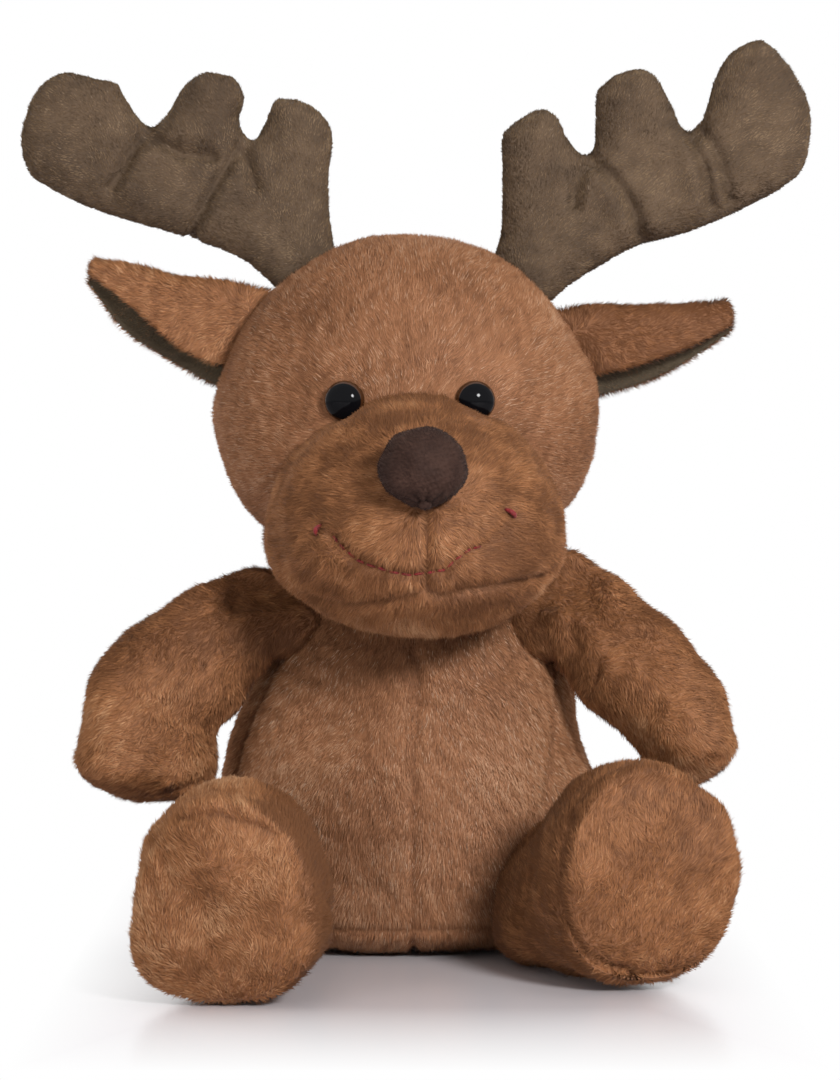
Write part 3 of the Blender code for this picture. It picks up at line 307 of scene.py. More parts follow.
def shade_materials(name, colors, roughness, sheen):
    """One constant-colour material for each shade of a pile, with a soft variation of its gloss."""
    warm = between(colors[-1], (1, 1, 1), 0.3)
    out = []
    for i, color in enumerate(colors):
        material, tree, shader = plain_shader(f"{name}_{i}", roughness)
        feed(shader, {
            "Base Color": (*color, 1), "Specular IOR Level": 0.25,
            "Sheen Weight": sheen, "Sheen Roughness": 0.35, "Sheen Tint": (*warm, 1),
            "Roughness": varied(tree, 700, 1, roughness - 0.15, min(roughness + 0.15, 1)),
        })
        out.append(material)
    return out


def between(a, b, t):
    return tuple(x + (y - x) * t for x, y in zip(a, b))


def steps(dark, middle, light):
    """Seven colours from dark over middle to light."""
    lower = [between(dark, middle, i / 3) for i in range(4)]
    return lower + [between(middle, light, i / 3) for i in range(1, 4)]


def pile_materials(name, colors, looks, glint, glint_looks):
    """The shades of a pile, and last the one of its glints, a light and glossier shade that paints small
    highlights; looks are roughness and sheen.
    """
    shades = shade_materials(f"{name}_pile", colors, *looks)
    return shades + shade_materials(f"{name}_glint", [glint], *glint_looks)


fur_colors = steps((0.17, 0.070, 0.030), (0.37, 0.165, 0.076), (0.56, 0.32, 0.187))
fur_shades = pile_materials("fur", fur_colors, (0.62, 0.06), (0.51, 0.32, 0.205), (0.5, 0.07))
# The fur of muzzle, ears and limbs is a little more golden than that of head and body
golden_colors = [tuple(np.multiply(color, (1.0, 0.96, 0.84))) for color in fur_colors]
golden_shades = pile_materials("golden", golden_colors, (0.62, 0.06), (0.56, 0.35, 0.21), (0.45, 0.08))
nap_colors = steps((0.055, 0.033, 0.018), (0.131, 0.082, 0.045), (0.25, 0.168, 0.098))
nap_shades = pile_materials("nap", nap_colors, (0.7, 0.1), (0.22, 0.155, 0.1), (0.5, 0.1))
lining_colors = [between((0.06, 0.043, 0.024), (0.15, 0.112, 0.068), i / 6) for i in range(7)]
lining_shades = pile_materials("lining", lining_colors, (0.75, 0.1), (0.2, 0.15, 0.1), (0.5, 0.1))
wool_colors = [(0.026, 0.012, 0.009), (0.042, 0.020, 0.014), (0.06, 0.03, 0.021)]
wool_shades = shade_materials("nose_wool", wool_colors, 0.8, 0.05)
# The backing cloths are a little darker than their piles: the cloth's colour with painted shade down among the
# strands
fur_cloth = cloth_material("fur_backing", (0.2, 0.085, 0.038), (0.3, 0.135, 0.062), 60, 900, 0.92, 0.05)
nap_cloth = cloth_material("nap_backing", (0.07, 0.044, 0.026), (0.115, 0.074, 0.044), 80, 1500, 0.92, 0.1)
lining_cloth = cloth_material("lining_backing", (0.06, 0.043, 0.025), (0.09, 0.065, 0.038), 80, 1500)
thread = cloth_material("smile_thread", (0.12, 0.007, 0.008), (0.25, 0.013, 0.016), 900, 2600, 0.7, 0.1)
cotton = cloth_material("pouch_cotton", (0.6, 0.56, 0.48), (0.72, 0.68, 0.6), 120, 2200)


def knit_material():
    """Fine knitted cloth: slanted rows of stitches in its bump, a little worn and mottled."""
    material, tree, shader = plain_shader("nose_knit", 0.78)
    where = add(tree, "TexCoord", {}).outputs["Object"]
    slanted = add(tree, "Mapping", {"Vector": where, "Rotation": (0, math.radians(24), 0)}).outputs["Vector"]
    rows = []
    for way, scale in (("Z", 190), ("X", 230)):
        wave = {"Vector": slanted, "Scale": scale, "Distortion": 1.2, "Detail": 2}
        rows.append(add(tree, "TexWave", wave, bands_direction=way).outputs["Fac"])
    feed(shader, {
        "Sheen Weight": 0.12, "Sheen Roughness": 0.4, "Sheen Tint": (0.45, 0.3, 0.24, 1),
        "Specular IOR Level": 0.2,
        "Base Color": mottled(tree, noise(tree, 170, 5), 0.3, (0.030, 0.014, 0.010),
                              0.7, (0.055, 0.027, 0.019)),
        "Normal": relief(tree, maths(tree, "ADD", *rows), 0.45, 0.25 * MM),
    })
    return material


def hard_material(name, color, roughness, specular):
    """Moulded plastic with faint marks of handling in its gloss."""
    material, tree, shader = plain_shader(name, roughness)
    feed(shader, {
        "Base Color": (*color, 1), "Specular IOR Level": specular,
        "Roughness": varied(tree, 260, 3, roughness, roughness + 0.05),
    })
    return material


knit = knit_material()
eye_black = hard_material("eye_black", (0.003, 0.003, 0.004), 0.04, 0.1)
eye_amber = hard_material("eye_amber", (0.05, 0.018, 0.006), 0.1, 0.3)
washer_white = hard_material("washer_white", (0.72, 0.71, 0.68), 0.45, 0.5)


# The pile


def sprinkle(skin, per_mm2, rng):
    """Even places over a skin, with smooth normals there."""
    verts, normals, tris = points_of(skin), normals_of(skin), triangles_of(skin)
    a, b, c = (verts[tris[:, i]] for i in range(3))
    area = np.linalg.norm(np.cross(b - a, c - a), axis=1) / 2
    total = np.cumsum(area)
    count = int(total[-1] * 1e6 * per_mm2)
    where = (np.arange(count) + rng.uniform(0, 1, count)) / count * total[-1]
    pick = np.minimum(np.searchsorted(total, where), len(tris) - 1)
    u, v = rng.uniform(0, 1, (2, count))
    over = u + v > 1
    u[over], v[over] = 1 - u[over], 1 - v[over]
    weights = np.stack([1 - u - v, u, v], 1)[:, :, None]
    places = (verts[tris[pick]] * weights).sum(1)
    return places, unit((normals[tris[pick]] * weights).sum(1))


def hidden(places, others, depth):
    """Which places lie deeper than a depth inside any of the closed forms."""
    out = np.zeros(len(places), bool)
    for tree, low, high in others:
        near = np.where(~out & np.all((places > low) & (places < high), axis=1))[0]
        for i in near:
            place = Vector(places[i])
            found, normal, _, _ = tree.find_nearest(place)
            if (place - found).dot(normal) < -depth:
                out[i] = True
    return out


def blocker(things):
    points = np.concatenate([points_of(t) for t in things])
    return tree_of(things), points.min(0), points.max(0)


def pile(name, skins, body, flow, seed, shades, blocks, length, width=STRAND_WIDTH, per_mm2=STRANDS_PER_MM2,
         lean=58, tint=None, trim=None, stir=1.0, depth=0.2 * MM, seams=(), glints=None):
    """Strands over skins: closed spikes that lean along the flow, in tufts, in several shades."""
    rng = np.random.default_rng(seed)
    places, normals = [], []
    for skin in skins:
        p, n = sprinkle(skin, per_mm2, rng)
        places.append(p)
        normals.append(n)
    places, normals = np.concatenate(places), np.concatenate(normals)
    part = parting(places, seams)
    share = 1 - 0.68 * part
    if trim is not None:
        share = share * trim(places, normals)
    keep = share > SHORTEST_SHARE
    places, normals, share, part = places[keep], normals[keep], share[keep], part[keep]
    tall = length * share * rng.uniform(0.72, 1.25, len(places))
    along = flow(places, normals)
    along = unit(along - normals * dots(along, normals))
    swirl = 0.34 * wave_vectors(places, 26 * MM, seed + 11) + 0.24 * wave_vectors(places, 9 * MM, seed + 21)
    swirl += 0.22 * wave_vectors(places, 3.2 * MM, seed + 31) + 0.15 * rng.normal(size=places.shape)
    along = along + stir * swirl
    along = unit(along - normals * dots(along, normals))
    leaning = np.radians(lean + 7 * waves(places, 7 * MM, seed + 41) + 9 * rng.normal(size=len(places)))
    leaning = np.clip(leaning, np.radians(8), np.radians(84))[:, None]
    toward = normals * np.cos(leaning) + along * np.sin(leaning)
    tips = places + toward * tall[:, None]
    tips[:, 2] = np.maximum(tips[:, 2], FLOOR_GAP)
    keep = ~hidden(places + normals * 0.4 * MM, blocks, depth)
    places, normals, tips, toward, along = (x[keep] for x in (places, normals, tips, toward, along))
    share, leaning, part = share[keep], leaning[keep], part[keep]
    count = len(places)
    across = unit(np.cross(toward, normals))
    wide = (width * rng.uniform(0.75, 1.3, count))[:, None] * np.sqrt(share)[:, None]
    seat = places - normals * STRAND_ROOT
    verts = np.stack([
        seat - across * wide / 2,
        seat + across * wide / 2,
        seat + normals * STRAND_ROOT + unit(np.cross(across, toward)) * wide * 0.55,
        tips,
    ], 1)
    crown = unit(normals - toward * dots(normals, toward))
    soft = unit(0.7 * normals + 0.3 * crown + 0.14 * rng.normal(size=normals.shape))
    bends = np.stack([unit(soft - 0.35 * across), unit(soft + 0.35 * across), soft, soft], 1)
    tone = 0.47 + 0.08 * waves(places, 34 * MM, seed + 51) + 0.085 * waves(places, 5 * MM, seed + 61)
    # Strands along seams and folds are darker: painted shade in the grooves
    tone += 0.125 * rng.normal(size=count) - 0.55 * part
    if tint is not None:
        tone += tint(places, normals)
    shade = np.clip((tone * (len(shades) - 1)).astype(int), 0, len(shades) - 2)
    # Glint strands take the last shade: painted highlights
    if glints is not None:
        shade[rng.uniform(0, 1, count) < glints(places, normals)] = len(shades) - 1
    parts = math.ceil(count * 4 / MOST_CORNERS)
    edges = np.linspace(0, count, parts + 1).astype(int)
    for number, (start, end) in enumerate(zip(edges[:-1], edges[1:]), 1):
        label = f"{name}_{number}" if parts > 1 else name
        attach(strand_object(label, verts[start:end], bends[start:end], shade[start:end], shades), body)


def strand_object(name, verts, bends, shade, shades):
    count = len(verts)
    mesh = bpy.data.meshes.new(name)
    mesh.vertices.add(count * 4)
    mesh.vertices.foreach_set("co", verts.ravel())
    corners = np.array([0, 3, 1, 1, 3, 2, 2, 3, 0, 0, 1, 2])
    loops = (np.arange(count)[:, None] * 4 + corners[None, :]).ravel()
    mesh.loops.add(len(loops))
    mesh.loops.foreach_set("vertex_index", loops)
    mesh.polygons.add(count * 4)
    mesh.polygons.foreach_set("loop_start", np.arange(count * 4) * 3)
    for material in shades:
        mesh.materials.append(material)
    mesh.polygons.foreach_set("material_index", np.repeat(shade, 4))
    mesh.update(calc_edges=True)
    mesh.shade_smooth()
    mesh.normals_split_custom_set_from_vertices(bends.reshape(-1, 3).tolist())
    return new_object(name, mesh)


# Seams and folds: each is how far places are from it, its width, its depth and how far it parts the pile


def camera_ray(x, y):
    """The way that the camera looks through a place in its frame."""
    focus = CAMERA_LENS / SENSOR * FRAME_HEIGHT
    turn = Matrix.Rotation(math.radians(CAMERA_TILT_DEG), 3, "X")
    return (turn @ Vector(((x - FRAME_WIDTH / 2) / focus, (FRAME_HEIGHT / 2 - y) / focus, -1))).normalized()


def seen(tree, pixels, steps=6):
    """The line on a skin that the camera sees through places in the frame, and the skin's normals there."""
    line, normals = [], []
    for (x0, y0), (x1, y1) in zip(pixels, pixels[1:]):
        for t in np.arange(steps + 1) / steps:
            way = camera_ray(x0 + (x1 - x0) * t, y0 + (y1 - y0) * t)
            found, normal, _, _ = tree.ray_cast(Vector(CAMERA_PLACE), way)
            if found is not None:
                line.append(found)
                normals.append(normal)
    return np.array(line), np.array(normals)


def line_seam(tree, pixels, width, depth, part):
    line, normals = seen(tree, pixels)
    sunk = line - normals * depth
    low, high = line.min(0) - 4 * width, line.max(0) + 4 * width

    def distance(places):
        out = np.full(len(places), 1.0)
        near = np.all((places > low) & (places < high), axis=1)
        out[near] = np.minimum(line_distance(places[near], line), line_distance(places[near], sunk))
        return out
    return distance, width, depth, part


def plane_seam(point, normal, width, depth, part):
    point, normal = np.array(point), unit(np.array(normal, float))
    return lambda places: np.abs((places - point) @ normal), width, depth, part


def draw_in(thing, seams):
    """Draws a skin in along its seams and folds."""
    points, normals = points_of(thing), normals_of(thing)
    fall, rise = np.zeros(len(points)), np.zeros(len(points))
    for distance, width, depth, _ in seams:
        move = depth * bell(distance(points), width)
        fall, rise = np.maximum(fall, move), np.minimum(rise, move)
    set_points(thing, points - normals * (fall + rise)[:, None])


def parting(places, seams):
    """How far the pile is parted at places, from 0 to 1."""
    out = np.zeros(len(places))
    for distance, width, _, part in seams:
        out = np.maximum(out, part * bell(distance(places), 0.62 * width))
    return out * (0.8 + 0.3 * waves(places, 9 * MM, 13)) if seams else out


def swell(thing, size, wavelength, seed):
    """Soft lumps of the stuffing."""
    points, normals = points_of(thing), normals_of(thing)
    set_points(thing, points + normals * (size * waves(points, wavelength, seed))[:, None])


# Body


BODY_HEIGHT = 118 * MM
BODY_HALF_WIDTH = 62.5 * MM
BODY_FRONT = 52 * MM
BODY_BACK = 53 * MM
BODY_SHARES = (
    (0.000, 0.73, 0.68, 0.74),
    (0.034, 0.86, 0.84, 0.88),
    (0.136, 0.97, 0.96, 0.98),
    (0.305, 1.00, 1.00, 1.00),
    (0.508, 0.935, 0.945, 0.95),
    (0.695, 0.815, 0.85, 0.85),
    (0.847, 0.695, 0.75, 0.74),
    (0.949, 0.585, 0.665, 0.655),
    (1.000, 0.519, 0.624, 0.612),
)
NECK_CENTRE = np.array([0, 0, 112 * MM])
NECK_BALL = 31.5 * MM


def body_skin():
    shares = np.concatenate([np.zeros(8), np.linspace(0, 1, 110), np.ones(7)])
    shrink = np.concatenate([np.linspace(0, 0.98, 8), np.ones(110), np.linspace(0.97, 0, 7)])
    lift = np.concatenate([np.zeros(118), 3 * MM * (1 - np.linspace(0.97, 0, 7) ** 2)])
    sizes = smooth_rows(BODY_SHARES, shares) * shrink[:, None]
    rings = []
    for (width, front, back), share, rise in zip(sizes, shares, lift):
        level = oval(width * BODY_HALF_WIDTH, front * BODY_FRONT, back * BODY_BACK, 240)
        rings.append(level + np.array([0, 0, share * BODY_HEIGHT + rise]))
    return closed_grid("body_skin", np.array(rings), fur_cloth)


# Head


HEAD_CENTRE = np.array([-2.3, -2, 168]) * MM
HEAD_HALF_WIDTH = 60.3 * MM
HEAD_FRONT = 52 * MM
HEAD_BACK = 50 * MM
HEAD_UP = 52.5 * MM
HEAD_DOWN = 54 * MM
HEAD_TAPER_SHARE = 0.1


def head_skin():
    rings = []
    for tilt in np.linspace(-math.pi / 2, math.pi / 2, 130):
        rise = (HEAD_UP if tilt > 0 else HEAD_DOWN) * math.sin(tilt)
        girth = math.cos(tilt) * (1 - HEAD_TAPER_SHARE * math.sin(tilt))
        level = oval(HEAD_HALF_WIDTH, HEAD_FRONT, HEAD_BACK, 220) * girth
        rings.append(HEAD_CENTRE + level + np.array([0, 0, rise]))
    return closed_grid("head_skin", np.array(rings), fur_cloth)


# Muzzle


MUZZLE_ROOT = HEAD_CENTRE + np.array([2.3, -31, -44]) * MM
MUZZLE_HALF_WIDTH = 46 * MM
MUZZLE_UP = 47.5 * MM
MUZZLE_DOWN = 28 * MM
MUZZLE_REACH = 72 * MM
MUZZLE_TIP_SHIFT = 3 * MM
MUZZLE_HANG_SHARES = ((0.0, 0.45), (0.25, 0.85), (0.55, 1.05), (1.0, 1.0))
MUZZLE_SQUARENESS = 2.4
MUZZLE_START = -0.3


def muzzle_skin():
    rings = []
    for out in np.concatenate([[MUZZLE_START, -0.28], np.sin(np.linspace(0, math.pi / 2, 120))]):
        middle = MUZZLE_ROOT + np.array([MUZZLE_TIP_SHIFT * out, -MUZZLE_REACH * out, 0])
        girth = 0 if out == MUZZLE_START else math.sqrt(max(1 - max(out, 0) ** MUZZLE_SQUARENESS, 0))
        hang = smooth_rows(MUZZLE_HANG_SHARES, max(out, 0))[0, 0]
        upright = oval(MUZZLE_HALF_WIDTH, MUZZLE_DOWN * hang, MUZZLE_UP, 240)[:, [0, 2, 1]]
        rings.append(middle + girth * upright)
    return closed_grid("muzzle_skin", np.array(rings), fur_cloth)


# Arms and legs


ARM_ROOT_RADIUS = 13.2 * MM
ARM_HALF_WIDTH = 23 * MM
ARM_HALF_DEPTH = 17 * MM
ARM_FORWARD = 17 * MM
ARM_OUT = {"left": 45 * MM, "right": 42 * MM}
ARM_DOWN = {"left": 43 * MM, "right": 38 * MM}
ARM_PATH_SHARES = (
    (0.0, 0.0, 0.0), (0.26, 0.17, -0.03), (0.63, 0.46, 0.17), (0.91, 0.77, 0.53), (1.0, 1.0, 1.0),
)
ARM_WIDTH_SHARES = (
    (0.0, 0.61, 0.79), (0.25, 0.75, 0.87), (0.5, 0.88, 0.93), (0.75, 0.96, 1.0), (1.0, 1.0, 1.0),
)
ARM_PAW_SHARE = 0.66
LEG_ROOT_RADIUS = 20 * MM
LEG_REACH = {"left": 94 * MM, "right": 73 * MM}
LEG_SPLAY_DEG = {"left": 4, "right": 18}
FOOT_HALF_WIDTH = {"left": 27.8 * MM, "right": 28.6 * MM}
FOOT_HALF_HEIGHT = {"left": 32 * MM, "right": 33.5 * MM}
FOOT_RISE = {"left": 0.0, "right": 3.7 * MM}
FOOT_FLAT = 0.5 * MM
FOOT_TAPER_SHARE = {"left": 0.14, "right": 0.02}
FOOT_SQUARE_SHARE = 0.2
SOLE_BULGE = 7 * MM
CROWN_SQUARENESS = 2.3
LEG_WIDTH_SHARES = (
    (0.0, 0.71, 0.61), (0.3, 0.76, 0.68), (0.6, 0.92, 0.89), (0.85, 1.0, 1.0), (1.0, 0.97, 0.95),
)
LEG_LYING_SHARES = ((0.0, 0.0), (0.3, 0.5), (0.6, 1.0), (1.0, 1.0))
JOINT_PLACES = {j["name"]: np.array(j["pos_m"]) for j in frame["joints"]}


def limb_rings(path, sizes, root_radius, crown, taper=0.0, inset=0.0, cols=110):
    """A limb from a ball at its root to a domed end, over arrays of middle points and of its half-sizes."""
    first, last = unit(path[1] - path[0]), unit(path[-1] - path[-2])
    root_radius, crown, sizes = root_radius - inset, crown - inset, sizes - inset
    stations = [(path[0] - first * root_radius, 0, 0, 0)]
    for lean in np.linspace(80, 10, 8):
        girth = root_radius * math.cos(math.radians(lean))
        stations.append((path[0] - first * root_radius * math.sin(math.radians(lean)), girth, girth, 0))
    for i, (place, size) in enumerate(zip(path, sizes)):
        stations.append((place, size[0], size[1], i / (len(path) - 1)))
    for share in np.sin(np.linspace(0.08, math.pi / 2, 24)):
        off = math.sqrt(max(1 - share**CROWN_SQUARENESS, 0))
        stations.append((path[-1] + last * crown * share, sizes[-1][0] * off, sizes[-1][1] * off, 1))
    middles = np.array([station[0] for station in stations])
    turns = np.linspace(0, 2 * math.pi, cols, endpoint=False)
    rings = []
    for i, (centre, tall, wide, progress) in enumerate(stations):
        along = unit(middles[min(i + 1, len(middles) - 1)] - middles[max(i - 1, 0)])
        across = unit(np.cross(along, (0, 0, 1)))
        upward = unit(np.cross(across, along))
        up, out = np.cos(turns), np.sin(turns)
        if taper:
            power = np.where(up < 0, 1 - FOOT_SQUARE_SHARE * progress, 1)
            up, out = np.sign(up) * np.abs(up) ** power, np.sign(out) * np.abs(out) ** power
        out = out * (1 - taper * progress * up)
        rings.append(centre + tall * up[:, None] * upward + wide * out[:, None] * across)
    return np.array(rings)


def clear_of_solids(points, nodes):
    """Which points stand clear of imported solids, with the nearest places there and how far they are."""
    tree = tree_of([frame["nodes"][node] for node in nodes])
    for i, point in enumerate(points):
        found, normal, _, distance = tree.find_nearest(Vector(point))
        if distance > FIT_SLACK and (Vector(point) - found).dot(normal) > 0:
            yield i, np.array(found), distance


def smooth(thing, times, factor):
    """Moves each point towards the middle of its neighbours."""
    mesh = thing.data
    edges = np.empty(len(mesh.edges) * 2, int)
    mesh.edges.foreach_get("vertices", edges)
    edges = edges.reshape(-1, 2)
    degree = np.bincount(edges.ravel(), minlength=len(mesh.vertices))[:, None]
    points = points_of(thing)
    for _ in range(times):
        total = np.zeros_like(points)
        np.add.at(total, edges[:, 0], points[edges[:, 1]])
        np.add.at(total, edges[:, 1], points[edges[:, 0]])
        points += (total / degree - points) * factor
    set_points(thing, points)


def fit(thing, nodes):
    """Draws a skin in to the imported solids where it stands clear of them."""
    points = points_of(thing)
    for i, found, distance in clear_of_solids(points, nodes):
        points[i] = found + (points[i] - found) * FIT_SLACK / distance
    set_points(thing, points)
    smooth(thing, 5, 0.5)


def limb_skin(name, nodes, *form):
    """A limb's skin, sunk below its pile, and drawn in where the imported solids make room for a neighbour."""
    thing = closed_grid(name, limb_rings(*form), fur_cloth)
    full = points_of(thing)
    rings = limb_rings(*form, inset=SKIN_DEPTH)
    sunk = np.concatenate([rings[0].mean(0)[None], rings[1:-1].reshape(-1, 3), rings[-1].mean(0)[None]])
    moves = np.zeros_like(full)
    for i, found, distance in clear_of_solids(full, nodes):
        moves[i] = (found - full[i]) * (1 - FIT_SLACK / distance)
    set_points(thing, moves)
    smooth(thing, 14, 0.6)
    set_points(thing, sunk + points_of(thing) * 1.15)
    smooth(thing, 8, 0.6)
    return thing


def from_ball(sizes, at, radius):
    """Sizes along a limb that start with those of the ball at its root."""
    blend = step_between(0, 0.2, at)[:, None]
    return radius * (1 - blend) + sizes * blend


def arm_skin(side):
    shoulder = JOINT_PLACES[f"arm_{side}_lift"]
    at = np.linspace(0, 1, 60)
    rows = [(i / (len(ARM_PATH_SHARES) - 1),) + row for i, row in enumerate(ARM_PATH_SHARES)]
    out, forward, down = smooth_rows(rows, at).T
    moves = [SIDES[side] * out * ARM_OUT[side], -forward * ARM_FORWARD, -down * ARM_DOWN[side]]
    sizes = smooth_rows(ARM_WIDTH_SHARES, at) * (ARM_HALF_WIDTH, ARM_HALF_DEPTH)
    return limb_skin(f"arm_skin_{side}", [f"arm_front_{side}", f"arm_back_{side}", f"arm_stuffing_{side}"],
                     shoulder + np.stack(moves, 1), from_ball(sizes, at, ARM_ROOT_RADIUS), ARM_ROOT_RADIUS,
                     ARM_PAW_SHARE * ARM_HALF_DEPTH)


def leg_skin(side):
    hip = JOINT_PLACES[f"leg_{side}_lift"]
    splay = math.radians(LEG_SPLAY_DEG[side])
    ahead = np.array([SIDES[side] * math.sin(splay), -math.cos(splay), 0])
    middle = hip + ahead * LEG_REACH[side]
    middle[2] = LEG_WIDTH_SHARES[-1][2] * FOOT_HALF_HEIGHT[side] - FOOT_FLAT + FOOT_RISE[side]
    at = np.linspace(0, 1, 74)
    wide, tall = smooth_rows(LEG_WIDTH_SHARES, at).T
    lying = smooth_rows(LEG_LYING_SHARES, at)[:, 0]
    path = hip + (middle - hip) * at[:, None]
    path[:, 2] = hip[2] + (tall * FOOT_HALF_HEIGHT[side] - FOOT_FLAT - hip[2]) * lying
    path[:, 2] += (middle[2] - path[-1, 2]) * step_between(0.8, 1, at)
    sizes = np.stack([tall * FOOT_HALF_HEIGHT[side], wide * FOOT_HALF_WIDTH[side]], 1)
    return limb_skin(f"leg_skin_{side}", [f"leg_{side}", f"foot_sole_{side}", f"leg_stuffing_{side}"],
                     path, from_ball(sizes, at, LEG_ROOT_RADIUS), LEG_ROOT_RADIUS, SOLE_BULGE,
                     FOOT_TAPER_SHARE[side])


# Antlers


ANTLER_REACH = 89.5 * MM
ANTLER_HALF_THICKNESS = 8.5 * MM
ANTLER_EDGE = 11 * MM
ANTLER_SINK = 1.5 * MM
ANTLER_GRID = 1.4 * MM
ANTLER_SHARES = {
    "left": (
        (-0.135, 0.02), (-0.107, 0.07), (-0.09, 0.19), (-0.087, 0.305), (-0.10, 0.453), (-0.06, 0.533),
        (0.01, 0.578), (0.066, 0.588), (0.114, 0.578), (0.15, 0.5), (0.185, 0.447), (0.222, 0.5),
        (0.205, 0.585), (0.242, 0.657), (0.298, 0.673), (0.353, 0.678), (0.426, 0.63), (0.495, 0.522),
        (0.55, 0.497), (0.619, 0.588), (0.65, 0.64), (0.734, 0.659), (0.844, 0.678), (0.941, 0.606),
        (0.993, 0.453), (0.968, 0.325), (0.893, 0.265), (0.775, 0.206), (0.654, 0.162), (0.495, 0.117),
        (0.394, 0.086), (0.298, 0.052), (0.205, 0.005), (0.11, -0.08), (0.06, -0.13),
    ),
    "right": (
        (-0.13, 0.03), (-0.097, 0.083), (-0.073, 0.163), (-0.069, 0.287), (-0.069, 0.405), (-0.066, 0.498),
        (0.0, 0.561), (0.073, 0.592), (0.131, 0.567), (0.17, 0.491), (0.218, 0.44), (0.25, 0.467),
        (0.256, 0.633), (0.284, 0.675), (0.336, 0.713), (0.42, 0.731), (0.482, 0.692), (0.536, 0.592),
        (0.574, 0.525), (0.619, 0.547), (0.64, 0.599), (0.661, 0.675), (0.696, 0.751), (0.751, 0.803),
        (0.837, 0.83), (0.92, 0.761), (0.972, 0.682), (1.01, 0.592), (1.01, 0.465), (0.97, 0.352),
        (0.815, 0.252), (0.602, 0.158), (0.436, 0.112), (0.36, 0.08), (0.26, 0.022), (0.178, -0.03),
        (0.1, -0.1), (0.06, -0.15),
    ),
}
# Where each antler comes out of the head, and where the head's outline points there
ANTLER_ROOTS = {
    "left": (np.array([-34.23, 2, 210.37]) * MM, (-0.657, 0.754)),
    "right": (np.array([33.81, 2, 206.73]) * MM, (0.657, 0.754)),
}


def rounded(outline, steps):
    """A closed smooth curve through the outline's corners."""
    before, after, second = (np.roll(outline, k, axis=0) for k in (1, -1, -2))
    out = []
    for i in range(len(outline)):
        for t in np.arange(steps) / steps:
            out.append(0.5 * (
                2 * outline[i] + (after[i] - before[i]) * t
                + (2 * before[i] - 5 * outline[i] + 4 * after[i] - second[i]) * t * t
                + (3 * outline[i] - before[i] - 3 * after[i] + second[i]) * t**3
            ))
    return np.array(out)


def inside_outline(outline, points):
    x, z = points[:, 0], points[:, 1]
    over = np.zeros(len(points), bool)
    for (x0, z0), (x1, z1) in zip(outline, np.roll(outline, -1, axis=0)):
        if z0 != z1:
            over ^= ((z0 > z) != (z1 > z)) & (x < (x1 - x0) * (z - z0) / (z1 - z0) + x0)
    return over


def antler_skin(side):
    place, outward = ANTLER_ROOTS[side]
    root = place - np.array([outward[0], 0, outward[1]]) * ANTLER_SINK
    outline = np.array([(SIDES[side] * out, up) for out, up in ANTLER_SHARES[side]]) * ANTLER_REACH
    outline = rounded(outline, 6)
    closed = np.concatenate([outline, outline[:1]])
    low, high = outline.min(0), outline.max(0)
    xs = np.arange(low[0], high[0], ANTLER_GRID)
    zs = np.arange(low[1], high[1], ANTLER_GRID * 0.866)
    grid = np.array([(x + ANTLER_GRID / 2 * (j % 2), z) for j, z in enumerate(zs) for x in xs])
    grid = grid[inside_outline(outline, grid)]
    away = line_distance(grid, closed)
    grid = grid[away > ANTLER_GRID * 0.45]
    points = [Vector(p) for p in np.concatenate([outline, grid])]
    count = len(outline)
    rim = [(i, (i + 1) % count) for i in range(count)]
    found, _, faces, _, _, _ = delaunay_2d_cdt(points, rim, [], 1, 0)
    flat = np.array([tuple(p) for p in found])
    away = np.minimum(line_distance(flat, closed) / ANTLER_EDGE, 1)
    height = ANTLER_HALF_THICKNESS * np.sqrt(np.maximum(1 - (1 - away) ** 2, 0))
    front = np.stack([flat[:, 0], -height, flat[:, 1]], 1) + root
    back = np.stack([flat[:, 0], height, flat[:, 1]], 1) + root
    on_rim = height < 1e-6
    other = np.where(on_rim, np.arange(len(flat)), len(flat) + np.arange(len(flat)))
    verts = np.concatenate([front, back])
    faces = [tuple(f) for f in faces] + [tuple(int(other[i]) for i in reversed(f)) for f in faces]
    return closed_skin(f"antler_skin_{side}", verts, faces, nap_cloth)


# Ears


EAR_LENGTH = 55 * MM
EAR_HALF_DEPTH = 8 * MM
EAR_TIP = 1.2 * MM
# Along the ear: its top edge, its front edge and its back edge, each as outward and upward places
EAR_SHARES = {
    "left": (
        (0.00, -0.20, 0.15, 0.00, -0.27, 0.05, -0.42),
        (0.25, 0.12, 0.225, 0.20, -0.235, 0.27, -0.32),
        (0.50, 0.40, 0.255, 0.41, -0.125, 0.50, -0.185),
        (0.75, 0.65, 0.32, 0.645, 0.08, 0.70, -0.05),
        (1.00, 0.84, 0.345, 0.86, 0.245, 0.885, 0.19),
    ),
    "right": (
        (0.00, -0.20, 0.13, -0.02, -0.22, -0.02, -0.37),
        (0.25, 0.10, 0.18, 0.20, -0.195, 0.20, -0.315),
        (0.50, 0.37, 0.178, 0.42, -0.14, 0.45, -0.235),
        (0.75, 0.62, 0.185, 0.645, -0.055, 0.68, -0.11),
        (1.00, 0.84, 0.205, 0.86, 0.05, 0.865, 0.02),
    ),
}
EAR_DEPTH_SHARES = ((0.0, 0.7), (0.3, 0.95), (0.6, 1.0), (1.0, 0.7))
EAR_ROOTS = {"left": np.array([-51.33, 2, 192.98]) * MM, "right": np.array([49.98, 2, 188.07]) * MM}


